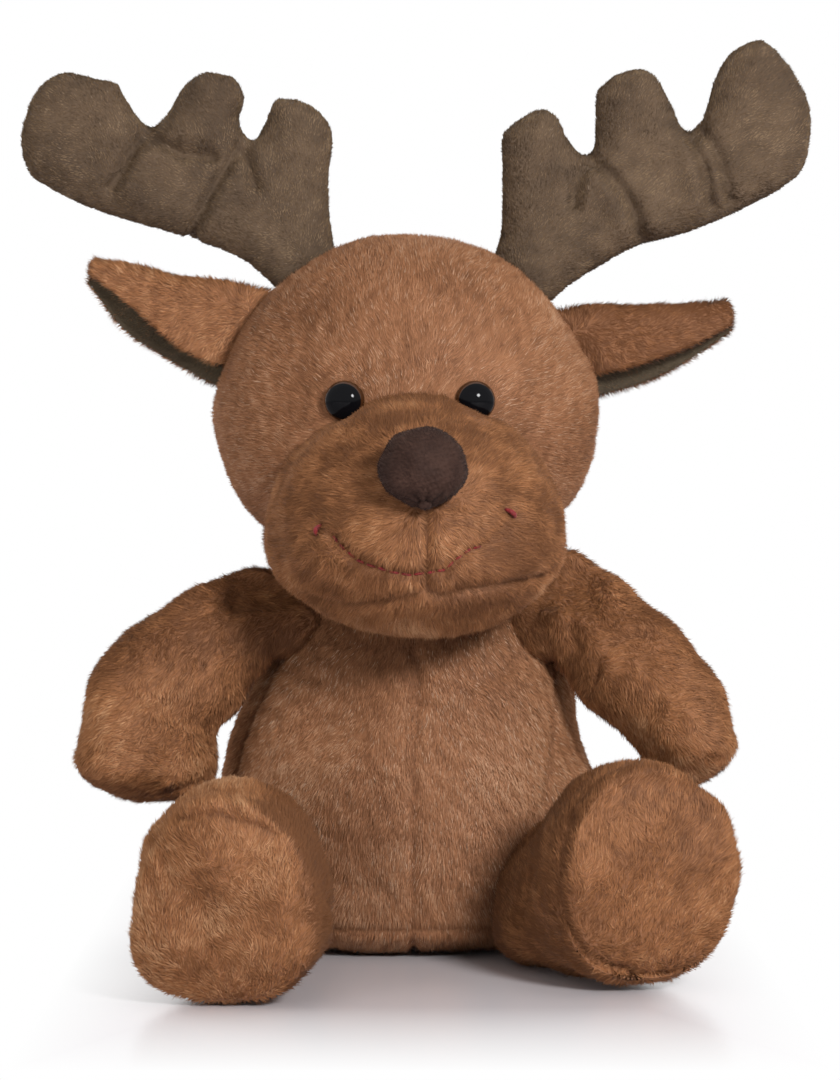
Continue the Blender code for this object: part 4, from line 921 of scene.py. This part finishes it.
def ear_sheet(side, inset, steps=36):
    """Rows of points over the ear from root to tip, arched over its top edge and drawn in by inset."""
    root = EAR_ROOTS[side]
    rows = []
    for at in np.linspace(0, 1, steps):
        places = EAR_LENGTH * smooth_rows(EAR_SHARES[side], at)[0]
        top, front, back = (root + np.array([SIDES[side] * places[k], 0, places[k + 1]]) for k in (0, 2, 4))
        depth = smooth_rows(EAR_DEPTH_SHARES, at)[0, 0] * EAR_HALF_DEPTH - inset
        top = top + unit((front + back) / 2 - top) * inset
        swing = np.linspace(-math.pi / 2, math.pi / 2, steps)[:, None]
        edge = np.where(swing < 0, front, back)
        rows.append(top + (edge - top) * (1 - np.cos(swing)) + np.array([0, 1, 0]) * depth * np.sin(swing))
    middle, last = rows[-1].mean(0), rows[-1]
    way = unit(middle - rows[-6].mean(0)) * EAR_TIP
    for lean in np.radians(np.linspace(15, 80, 7)):
        rows.append(middle + (last - middle) * math.cos(lean) ** 0.7 + way * math.sin(lean))
    return np.array(rows)


def layer(name, outer, inner, material):
    """A closed layer of cloth between two sheets of points."""
    rows, width, _ = outer.shape
    half = rows * width
    faces = []
    for i in range(rows - 1):
        for j in range(width - 1):
            quad = (i * width + j, i * width + j + 1, (i + 1) * width + j + 1, (i + 1) * width + j)
            faces += [quad, tuple(half + k for k in reversed(quad))]
    rim = list(range(width)) + [i * width + width - 1 for i in range(1, rows)]
    rim += [(rows - 1) * width + j for j in range(width - 2, -1, -1)]
    rim += [i * width for i in range(rows - 2, 0, -1)]
    faces += [(end, start, half + start, half + end) for start, end in zip(rim, rim[1:] + rim[:1])]
    return closed_skin(name, np.concatenate([outer.reshape(-1, 3), inner.reshape(-1, 3)]), faces, material)


# Nose, eyes and smile


EYE_SINK = 5.5 * MM
STITCH_RINGS = 9
STITCH_SIDES = 8


def turned(name, place, axis, profile, sides, material):
    """A turned piece: rings about an axis from a profile of distances along it and radii."""
    turn = np.array(Vector(axis).normalized().to_track_quat("Z", "Y").to_matrix())
    rings = []
    for along, radius in profile:
        rings.append(place + (oval(radius, radius, radius, sides) + np.array([0, 0, along])) @ turn.T)
    return closed_grid(name, np.array(rings), material)


def from_axis(points, place, way):
    """How far points are along an axis from a place on it, and how far from the axis."""
    reach = points - place
    return reach @ way, np.linalg.norm(reach - (reach @ way)[:, None] * way, axis=1)


def eye(side):
    washer_low, washer_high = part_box(f"eye_washer_{side}")
    back = (np.array(washer_low) + np.array(washer_high)) / 2
    points = points_of(frame["nodes"][f"eye_{side}"])
    front = points[np.argmin(points[:, 1])]
    away = unit(front - back)
    rim = front - away * EYE_SINK
    profile = [(-2.5, 0), (-2.5, 5.6), (-0.4, 6.0), (0.0, 6.05), (0.35, 5.98)]
    profile += [(0.35 + 3.85 * math.sin(a), 5.98 * math.cos(a)) for a in np.linspace(0.06, math.pi / 2, 22)]
    dome = turned(f"eye_dome_{side}", rim, away, np.array(profile) * MM, 64, eye_black)
    dome.data.materials.append(eye_amber)
    faces = dome.data.polygons
    for face, along, off in zip(faces, *from_axis(np.array([face.center for face in faces]), rim, away)):
        if off > 5.35 * MM and along > -0.3 * MM:
            face.material_index = 1
    return dome, rim, away


def nose(place, radii):
    rings = []
    for tilt in np.linspace(-math.pi / 2, math.pi / 2, 110):
        level = oval(radii[0], radii[1], radii[1], 160) * math.cos(tilt)
        rings.append(level + np.array([0, 0, radii[2] * math.sin(tilt)]))
    ball = closed_grid("nose_ball", np.array(rings), knit)
    points = points_of(ball)
    way = unit(points / radii)
    gather = unit(np.array([0.05, -0.35, -0.93]))
    lean = np.arccos(np.clip(way @ gather, -1, 1))
    side = unit(np.cross(gather, (1, 0, 0)))
    around = np.arctan2(way @ side, way @ np.cross(gather, side))
    size = 0.35 * MM * bell(lean - 0.3, 0.28) * np.cos(9 * around) - 1.1 * MM * bell(lean, 0.16)
    size += 0.22 * MM * waves(points, 9 * MM, 77)
    set_points(ball, place + points + way * size[:, None])
    profile = np.array([(-1.2, 0), (-1.1, 1.2), (-0.2, 1.9), (0.7, 1.7), (1.3, 0.9), (1.45, 0)]) * MM
    return ball, turned("nose_knot", place + gather * (radii - 0.2 * MM), gather, profile, 24, knit)


def stitches(tree, pixels, name, length=3.4 * MM, radius=0.42 * MM, rise=1.0 * MM):
    """Stitches along a line on a skin: short closed threads whose ends dip into the cloth."""
    line, normals = seen(tree, pixels, 10)
    gone = np.concatenate([[0], np.cumsum(np.linalg.norm(np.diff(line, axis=0), axis=1))])
    count = max(round(gone[-1] / length), 1)
    verts, faces = [], []
    for i in range(count):
        at = np.linspace((i + 0.06) / count, (i + 0.94) / count, STITCH_RINGS) * gone[-1]
        middle = np.stack([np.interp(at, gone, line[:, k]) for k in range(3)], 1)
        normal = unit(np.stack([np.interp(at, gone, normals[:, k]) for k in range(3)], 1))
        arch = np.sin(np.linspace(0, math.pi, STITCH_RINGS))[:, None]
        middle = middle + normal * (rise * arch - 0.5 * MM)
        along = unit(np.gradient(middle, axis=0))
        wide = unit(np.cross(along, normal))
        tall = np.cross(wide, along)
        start = len(verts)
        for k in range(STITCH_RINGS):
            size = radius * (0.7 + 0.3 * arch[k, 0])
            for turn in np.linspace(0, 2 * math.pi, STITCH_SIDES, endpoint=False):
                verts.append(middle[k] + size * (math.cos(turn) * wide[k] + math.sin(turn) * tall[k]))
        for a in range(start, len(verts) - STITCH_SIDES):
            b = a + 1 if (a - start + 1) % STITCH_SIDES else a + 1 - STITCH_SIDES
            faces.append((a, b, b + STITCH_SIDES, a + STITCH_SIDES))
        faces.append(tuple(start + j for j in reversed(range(STITCH_SIDES))))
        faces.append(tuple(len(verts) - STITCH_SIDES + j for j in range(STITCH_SIDES)))
    return closed_skin(name, verts, faces, thread)


# Lies of the pile


def falling(places, normals):
    """A lie of the pile that falls and spreads from the middle line."""
    return 0.35 * unit(places * (1, 1, 0)) + np.array([0, 0, -1.0])


def along_limb(start, end):
    way = unit(np.array(end) - np.array(start))
    return lambda places, normals: np.broadcast_to(way, places.shape)


def dress(thing, body, nodes):
    """Puts a piece on its body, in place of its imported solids."""
    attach(thing, body)
    if nodes:
        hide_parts(*nodes)


# Places of the seams and folds in the 840 by 1080 frame
BODY_SIDE_LINES = (
    ((290, 622), (281, 652), (270, 682), (256, 712), (245, 742), (238, 775)),
    ((549, 640), (554, 680), (555, 720), (551, 760), (545, 800)),
)
BODY_FOLD_LINES = (
    ((300, 872), (345, 884), (385, 888)), ((262, 650), (290, 672), (318, 680)),
    ((520, 655), (500, 672), (478, 680)), ((560, 742), (575, 752), (588, 768)),
)
LIP_LINES = (
    ((284, 590), (321, 599), (346, 604.5), (366, 604.5), (400, 598), (427, 592)),
    ((427, 592), (444, 596), (456, 593), (480, 588), (505, 586), (529, 581), (554, 573)),
)
MUZZLE_MIDDLE_LINE = ((427, 512), (428, 540), (427, 570), (427, 590))
SMILE_LINES = (
    ((332, 535), (340, 545), (357, 560), (372, 566), (392, 572), (410, 575), (425, 573)),
    ((425, 573), (444, 570), (455, 560), (470, 549), (482, 546)),
    ((482, 546), (495, 532), (506, 520)),
)
SMILE_END_LINES = (((316, 536), (322, 524)), ((504, 508), (516, 518)))
ARM_LINES = {
    "left": (
        ((86, 782), (105, 796), (141, 797), (172, 793), (200, 780)),
        ((236, 600), (228, 622), (232, 640)), ((180, 625), (200, 650), (206, 690)),
    ),
    "right": (
        ((596, 676), (597, 660), (608, 646), (626, 637), (650, 634)), ((572, 606), (570, 625), (576, 644)),
        ((690, 770), (706, 760), (722, 756)),
    ),
}
# Slump of the soft pieces: the middle of each move, its reach, and how far it goes to the right and upward
ARM_SLUMPS = {
    "left": (
        ((180, 592), 17 * MM, (0.5 * MM, -3.6 * MM)), ((208, 752), 17 * MM, (4.6 * MM, 0)),
        ((238, 690), 12 * MM, (2.5 * MM, -3.4 * MM)), ((228, 724), 9 * MM, (-4.2 * MM, 0.6 * MM)),
    ),
    "right": (
        ((642, 648), 26 * MM, (-5.4 * MM, -5.2 * MM)), ((608, 744), 15 * MM, (6 * MM, 1.0 * MM)),
        ((628, 768), 11 * MM, (4.5 * MM, 2.2 * MM)),
    ),
}
SHOULDER_SLUMPS = {"left": (), "right": (((580, 556), 14 * MM, (-1.5 * MM, 5.4 * MM)),)}
BODY_SLUMPS = (((600, 736), 18 * MM, (-4.6 * MM, 0)),)
LEG_SLUMPS = {
    "left": (((150, 984), 12 * MM, (-1.6 * MM, -1.4 * MM)),),
    "right": (((530, 932), 20 * MM, (-9 * MM, -4.5 * MM)),),
}
LEG_SLUMP_DEPTHS = {"left": -125 * MM, "right": -46 * MM}
LEG_LINES = {
    "left": (
        ((176, 822), (200, 817), (221, 816), (240, 824), (258, 828), (276, 836)),
        ((232, 777), (230, 798), (235, 820)), ((154, 844), (160, 862), (167, 879)),
        ((141, 862), (150, 880), (154, 900)),
    ),
    "right": (
        ((635, 762), (603, 775), (574, 807), (562, 854), (562, 895), (568, 928), (586, 954), (613, 968),
         (634, 973)),
        ((590, 777), (558, 811), (546, 846), (540, 883), (548, 920), (566, 954), (599, 979)),
        ((511, 903), (520, 870), (542, 842)), ((524, 926), (529, 890), (540, 862)),
    ),
}
ANTLER_LINES = {
    "left": (
        ((242, 147), (232, 160), (222, 174), (212, 192), (204, 208), (196, 224), (192, 238)),
        ((148, 131), (137, 145), (128, 160), (121, 174), (112, 188)),
        ((150, 134), (162, 143), (183, 154), (214, 158)),
        ((244, 148), (250, 166), (255, 186)),
    ),
    "right": (
        ((588, 158), (597, 164), (616, 183), (628, 200), (636, 218), (641, 238)),
        ((584, 166), (578, 186), (574, 204)),
        ((690, 131), (693, 140), (703, 160), (708, 182), (711, 206)),
        ((699, 130), (710, 142), (718, 156), (727, 186), (731, 202)),
    ),
}
# Where the cloth of the antlers puffs up beside its folds
ANTLER_PUFFS = {
    "left": (
        ((256, 168), (236, 188), (218, 212), (208, 232)), ((158, 152), (146, 170), (132, 192)),
        ((178, 132), (206, 134)),
    ),
    "right": (
        ((596, 180), (612, 200), (624, 226)), ((586, 176), (586, 200)), ((686, 152), (694, 178), (697, 204)),
        ((704, 148), (713, 166), (719, 192)), ((650, 200), (656, 224)),
    ),
}


def slump(thing, moves, depth, hold=1):
    """Lets a soft piece sag as it does in the photo, at this depth behind the camera's frame."""
    points = points_of(thing)
    moved = points.copy()
    for (x, y), reach, (out, up) in moves:
        way = camera_ray(x, y)
        middle = np.array(CAMERA_PLACE) + np.array(way) * (depth - CAMERA_PLACE[1]) / way.y
        near = bell(np.linalg.norm((points - middle)[:, [0, 2]], axis=1), reach) * hold
        moved += near[:, None] * np.array([out, 0, up])
    set_points(thing, moved)


def keep_above(thing, height):
    points = points_of(thing)
    points[:, 2] = np.maximum(points[:, 2], height)
    set_points(thing, points)


def make_body():
    body = body_skin()
    sink(body, SKIN_DEPTH)
    slump(body, BODY_SLUMPS, 5 * MM)
    swell(body, 0.5 * MM, 30 * MM, 31)
    tree = tree_of([body])
    seams = [plane_seam((0, 0, 0), (1, 0, 0), 1.4 * MM, 0.7 * MM, 0.42)]
    seams += [line_seam(tree, ((415, 640), (418, 700), (416, 735)), 1.8 * MM, 1.0 * MM, 0.6)]
    seams += [plane_seam((0, 0, 10 * MM), (0, 0, 1), 1.6 * MM, 1.2 * MM, 0.8)]
    seams += [line_seam(tree, line, 1.8 * MM, 1.3 * MM, 0.9) for line in BODY_SIDE_LINES]
    seams += [line_seam(tree, line, 2.6 * MM, 0.8 * MM, 0.3) for line in BODY_FOLD_LINES]
    draw_in(body, seams)
    keep_above(body, 0.5 * MM)
    dress(body, "body", ["body_front_left", "body_front_right", "body_back_left", "body_back_right",
                                "body_base", "body_stuffing"])
    return body, seams


def make_head(eyes):
    head = head_skin()
    sink(head, SKIN_DEPTH)
    swell(head, 0.45 * MM, 28 * MM, 32)
    points, normals = points_of(head), normals_of(head)
    for _, rim, away in eyes.values():
        _, off = from_axis(points, rim, away)
        points -= normals * (0.5 * MM * bell(off, 8 * MM) * (points[:, 1] < -30 * MM))[:, None]
    set_points(head, points)
    seams = [plane_seam((0, 2 * MM, 0), (0, 1, 0), 1.6 * MM, 1.0 * MM, 0.7)]
    draw_in(head, seams)
    dress(head, "head", ["head_face", "head_back_left", "head_back_right", "head_stuffing"])
    return head, seams


def make_muzzle():
    muzzle = muzzle_skin()
    fit(muzzle, ["muzzle_left", "muzzle_right", "chin", "muzzle_stuffing", "head_stuffing", "head_face"])
    sink(muzzle, SKIN_DEPTH)
    swell(muzzle, 0.5 * MM, 20 * MM, 33)
    tree = tree_of([muzzle])
    seams = [line_seam(tree, line, width * MM, depth * MM, part) for line, width, depth, part in (
        (LIP_LINES[0], 2.0, 2.0, 0.9), (LIP_LINES[1], 2.1, 2.6, 1.15), (MUZZLE_MIDDLE_LINE, 1.7, 1.8, 1),
        (SMILE_LINES[0], 1.8, 1.7, 1.1), (SMILE_LINES[1], 1.6, 1.3, 0.95), (SMILE_LINES[2], 1.4, 0.8, 0.4),
        (SMILE_END_LINES[0], 1.9, 1.1, 1.1), (SMILE_END_LINES[1], 1.9, 1.1, 1.1),
    )]
    draw_in(muzzle, seams)
    dress(muzzle, "head", ["muzzle_left", "muzzle_right", "chin", "muzzle_stuffing"])
    tree = tree_of([muzzle])
    smile = [stitches(tree, line, f"smile_stitches_{i}") for i, line in enumerate(SMILE_LINES[:2])]
    for i, line in enumerate(SMILE_END_LINES):
        smile.append(stitches(tree, line, f"smile_end_{i}", rise=2.2 * MM, radius=0.72 * MM))
    for thing in smile:
        dress(thing, "head", ["smile_thread"])
    return muzzle, seams


def make_limb(side, kind):
    thing = arm_skin(side) if kind == "arm" else leg_skin(side)
    points = points_of(thing)
    from_root = np.linalg.norm(points - JOINT_PLACES[f"{kind}_{side}_lift"], axis=1)
    if kind == "arm":
        slump(thing, ARM_SLUMPS[side], -15 * MM, step_between(14 * MM, 34 * MM, from_root))
        slump(thing, SHOULDER_SLUMPS[side], -15 * MM)
    else:
        depth = LEG_SLUMP_DEPTHS[side]
        slump(thing, LEG_SLUMPS[side], depth,
              step_between(10 * MM, 24 * MM, from_root) * bell(points[:, 1] - depth, 36 * MM))
    swell(thing, 0.55 * MM, 20 * MM, 34 if side == "left" else 35)
    tree = tree_of([thing])
    lines = (ARM_LINES if kind == "arm" else LEG_LINES)[side]
    seams = [line_seam(tree, lines[0], 1.7 * MM, 1.3 * MM, 0.7)]
    seams += [line_seam(tree, line, 2.6 * MM, 1.0 * MM, 0.25) for line in lines[1:]]
    draw_in(thing, seams)
    keep_above(thing, 0.6 * MM)
    nodes = ([f"arm_front_{side}", f"arm_back_{side}", f"arm_stuffing_{side}"] if kind == "arm"
             else [f"leg_{side}", f"foot_sole_{side}", f"leg_stuffing_{side}"])
    dress(thing, f"{kind}_{side}", nodes)
    return thing, seams


def make_antler(side, head_block):
    antler = antler_skin(side)
    sink(antler, 0.7 * MM)
    place, _ = ANTLER_ROOTS[side]
    tree = tree_of([antler])
    seams = [plane_seam(place, (0, 1, 0), 1.0 * MM, 0.5 * MM, 0.5)]
    seams += [line_seam(tree, line, 2.1 * MM, 3.4 * MM, 0.3) for line in ANTLER_LINES[side]]
    seams += [line_seam(tree, line, 3.6 * MM, -1.3 * MM, 0) for line in ANTLER_PUFFS[side]]
    draw_in(antler, seams)
    dress(antler, f"antler_{side}",
          [f"antler_front_{side}", f"antler_back_{side}", f"antler_stuffing_{side}"])
    pile(f"antler_pile_{side}", [antler], f"antler_{side}", lambda p, n: p - place, 600 + SIDES[side],
         nap_shades, [head_block], length=1.15 * MM, width=0.24 * MM, per_mm2=3.6, lean=60, seams=seams,
         stir=0.8,
         tint=lambda p, n: 0.09 * waves(p, 24 * MM, 97) + 0.07 * waves(p, 7 * MM, 98),
         glints=lambda p, n: np.full(len(p), 0.01))


def make_ear(side, head_block):
    root = EAR_ROOTS[side]
    sheets = [ear_sheet(side, inset) for inset in (0.9 * MM, 2.2 * MM, 3.4 * MM)]
    outer = layer(f"ear_skin_{side}", sheets[0], sheets[1], fur_cloth)
    inner = layer(f"ear_inside_{side}", sheets[1], sheets[2], lining_cloth)
    dress(outer, f"ear_{side}", [f"ear_fur_{side}"])
    dress(inner, f"ear_{side}", [f"ear_lining_{side}"])
    # The right ear's pile is much darker than the left ear's: painted shade
    pile(f"ear_pile_{side}", [outer], f"ear_{side}", lambda p, n: p - root, 700 + SIDES[side], golden_shades,
         [head_block], length=2.3 * MM, width=0.26 * MM, per_mm2=4.2, lean=61,
         tint=lambda p, n: np.full(len(p), -0.42 if side == "right" else -0.02))
    pile(f"ear_nap_{side}", [inner], f"ear_{side}", lambda p, n: p - root, 720 + SIDES[side], lining_shades,
         [head_block], length=1.2 * MM, width=0.26 * MM, per_mm2=3)


def make_nose_and_eyes():
    low, high = (np.array(c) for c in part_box("nose_cover"))
    radii = np.array([12.6, 11, 11.3]) * MM
    place = np.array([(low[0] + high[0]) / 2, low[1] + radii[1], (low[2] + high[2]) / 2])
    ball, knot = nose(place, radii - 0.3 * MM)
    dress(ball, "head", ["nose_cover", "nose_stuffing"])
    dress(knot, "head", [])
    pile("nose_wool", [ball, knot], "head", lambda p, n: np.cross(n, (0.2, 0, 1)), 900, wool_shades, [],
         length=0.9 * MM, width=0.14 * MM, per_mm2=4, lean=55, stir=1.6)
    eyes = {side: eye(side) for side in SIDES}
    for side, (dome, _, _) in eyes.items():
        dress(dome, "head", [f"eye_{side}"])
    return ball, eyes


def make_neck(blocks):
    rings = []
    for tilt in np.radians(np.concatenate([np.linspace(4, 84, 30), [88]])):
        girth = NECK_BALL * math.cos(tilt)
        rise = np.array([0, 0, NECK_BALL * math.sin(tilt)])
        rings.append(NECK_CENTRE + oval(girth, girth, girth, 96) + rise)
    low = NECK_CENTRE + (rings[0] - NECK_CENTRE) * 0.5
    neck = closed_grid("neck_skin", np.array([low] + rings), fur_cloth)
    dress(neck, "neck", ["neck_stuffing"])
    pile("neck_pile", [neck], "neck", lambda p, n: p - NECK_CENTRE - np.array([0, 0, 0.05]), 800, fur_shades,
         blocks, depth=1.5 * MM, length=2.6 * MM)


def near_eyes(eyes):
    """Keeps the pile short round the eyes."""
    def trim(places, normals):
        share = np.ones(len(places))
        for _, rim, away in eyes.values():
            along, off = from_axis(places, rim, away)
            share *= np.where(along > -12 * MM, 0.4 + 0.6 * step_between(5.5 * MM, 9 * MM, off), 1)
        return share
    return trim


def build():
    ball, eyes = make_nose_and_eyes()
    body, body_seams = make_body()
    head, head_seams = make_head(eyes)
    muzzle, muzzle_seams = make_muzzle()
    head_block, muzzle_block, body_block, nose_block = (blocker([t]) for t in (head, muzzle, body, ball))
    # Body tone: a little lighter below 60 mm, and darker on the front between 84 and 98 mm up, a painted
    # shadow under the muzzle
    belly_tone_and_painted_shadow = lambda p, n: (0.05 * (p[:, 2] < 60 * MM)
                          - 0.2 * (p[:, 1] < 0) * step_between(84 * MM, 98 * MM, p[:, 2]))
    # Painted highlights: lighter glint strands, only on the front
    shine = lambda p, n: 0.07 * (p[:, 1] < -15 * MM) * (0.6 + 0.4 * waves(p, 22 * MM, 93))
    pile("body_pile", [body], "body", falling, 100, fur_shades, [head_block], length=2.1 * MM,
         width=0.25 * MM, per_mm2=5, lean=61, stir=0.45, seams=body_seams, tint=belly_tone_and_painted_shadow, glints=shine)
    pile("head_pile", [head], "head", lambda p, n: p - np.array([0, -0.06, 0.15]), 200, fur_shades,
         [muzzle_block], length=1.9 * MM, width=0.24 * MM, per_mm2=5, lean=62, stir=0.7, seams=head_seams,
         tint=lambda p, n: np.full(len(p), -0.03), trim=near_eyes(eyes), glints=shine)
    # Muzzle tone: darker overall with soft mottling, and painted shade: darker towards the right and on the
    # faces that look down
    mottle_and_painted_shade = lambda p, n: (-0.2 + 0.12 * waves(p, 13 * MM, 91)
                           - 0.08 * step_between(-10 * MM, 30 * MM, p[:, 0]) - 0.16 * n[:, 2].clip(-1, 0))
    pile("muzzle_pile", [muzzle], "head", lambda p, n: p - MUZZLE_ROOT - np.array([0, -0.08, 0.02]), 300,
         golden_shades, [head_block, nose_block], length=2.4 * MM, width=0.25 * MM, per_mm2=4.8,
         seams=muzzle_seams, tint=mottle_and_painted_shade, trim=near_eyes(eyes))
    for i, side in enumerate(SIDES):
        shoulder = JOINT_PLACES[f"arm_{side}_lift"]
        arm, seams = make_limb(side, "arm")
        # Painted shade: each arm darker towards its top, under the head, the left arm more
        high = 0.3 if side == "left" else 0.22
        hand = shoulder + np.array([SIDES[side] * 40, -15, -40]) * MM
        pile(f"arm_pile_{side}", [arm], f"arm_{side}", along_limb(shoulder, hand), 400 + i, golden_shades,
             [body_block], depth=3 * MM, seams=seams, length=2.5 * MM, width=0.27 * MM, per_mm2=4.4, lean=61,
             tint=lambda p, n: (0.07 * waves(p, 17 * MM, 95) - 0.02
                                - high * step_between(66 * MM, 96 * MM, p[:, 2])))
        leg, seams = make_limb(side, "leg")
        # Painted light and shade: the left leg a little lighter and the right leg darker all over, and each
        # leg darker on its inner side, which faces the other leg
        painted_side_light, inner = (0.07, 0.75) if side == "left" else (-0.15, 0.25)
        pile(f"leg_pile_{side}", [leg], f"leg_{side}", along_limb((0, 0, 0), (0, 0.55, 1)), 500 + i,
             golden_shades, [body_block], depth=3 * MM, seams=seams, length=2.4 * MM, width=0.27 * MM,
             per_mm2=4.4, lean=62,
             tint=lambda p, n: (painted_side_light + 0.07 * waves(p, 19 * MM, 96)
                                - inner * step_between(0.1, 0.7, -SIDES[side] * n[:, 0])))
        make_antler(side, head_block)
        make_ear(side, head_block)
    make_neck([head_block, body_block])
    for node, material in (
        ("bean_pouch", cotton), ("eye_washer_left", washer_white), ("eye_washer_right", washer_white),
    ):
        frame["nodes"][node].data.materials.clear()
        frame["nodes"][node].data.materials.append(material)


def camera_and_stage():
    data = bpy.data.cameras.new("camera")
    data.lens, data.sensor_width = CAMERA_LENS, SENSOR
    camera = new_object("camera", data)
    camera.location = CAMERA_PLACE
    camera.rotation_euler = (math.radians(CAMERA_TILT_DEG), 0, 0)
    bpy.context.scene.camera = camera

    floor = mesh_object("floor", [(-3, -3, 0), (3, -3, 0), (3, 3, 0), (-3, 3, 0)], [(0, 1, 2, 3)])
    material, tree, shader = plain_shader("floor", 0.22)
    feed(shader, {"Base Color": (0.86, 0.815, 0.845, 1)})
    places = add(tree, "SeparateXYZ", {0: add(tree, "TexCoord", {}).outputs["Object"]})
    fades = []
    for way, centre, start, end in (("X", 0.002, 0.062, 0.104), ("Y", -0.03, 0.096, 0.192)):
        far = maths(tree, "ABSOLUTE", maths(tree, "SUBTRACT", places.outputs[way], centre))
        fade = add(tree, "MapRange", {"Value": far, "From Min": start, "From Max": end})
        fades.append(fade.outputs["Result"])
    rays = add(tree, "LightPath", {}).outputs
    mix_shaders(tree, maths(tree, "MULTIPLY", maths(tree, "MAXIMUM", *fades), rays["Is Camera Ray"]),
                shader.outputs["BSDF"], add(tree, "Emission", {}).outputs["Emission"], "Material Output")
    floor.data.materials.append(material)

    world = bpy.data.worlds.new("world")
    bpy.context.scene.world = world
    world.use_nodes = True
    tree = world.node_tree
    soft = feed(tree.nodes["Background"], {"Color": (1, 1, 1, 1), "Strength": 0.38})
    white = add(tree, "Background", {"Color": (1, 1, 1, 1), "Strength": 1})
    rays = add(tree, "LightPath", {}).outputs
    seen_or_glossy = maths(tree, "MAXIMUM", rays["Is Camera Ray"], rays["Is Glossy Ray"])
    mix_shaders(tree, maths(tree, "MAXIMUM", seen_or_glossy, rays["Is Transmission Ray"]),
                soft.outputs["Background"], white.outputs["Background"], "World Output")

    for name, place, size, power in (
        ("key", (0.42, -0.98, 0.50), 0.22, 9.6),
        ("fill", (-0.62, -0.92, 0.10), 0.6, 3.1),
        ("top", (0.0, 0.0, 0.95), 0.6, 0.9),
        ("rim_left", (-0.6, 0.5, 0.35), 0.4, 2.0),
        ("rim_right", (0.6, 0.5, 0.35), 0.4, 2.0),
    ):
        data = bpy.data.lights.new(name, "AREA")
        data.shape, data.size, data.energy = "DISK", size, power
        lamp = new_object(name, data)
        lamp.location = place
        lamp.visible_glossy = name == "key"
        lamp.rotation_euler = (LAMP_AIM - Vector(place)).to_track_quat("-Z", "Y").to_euler()


camera_and_stage()
build()
bpy.context.scene.view_settings.view_transform = "Standard"
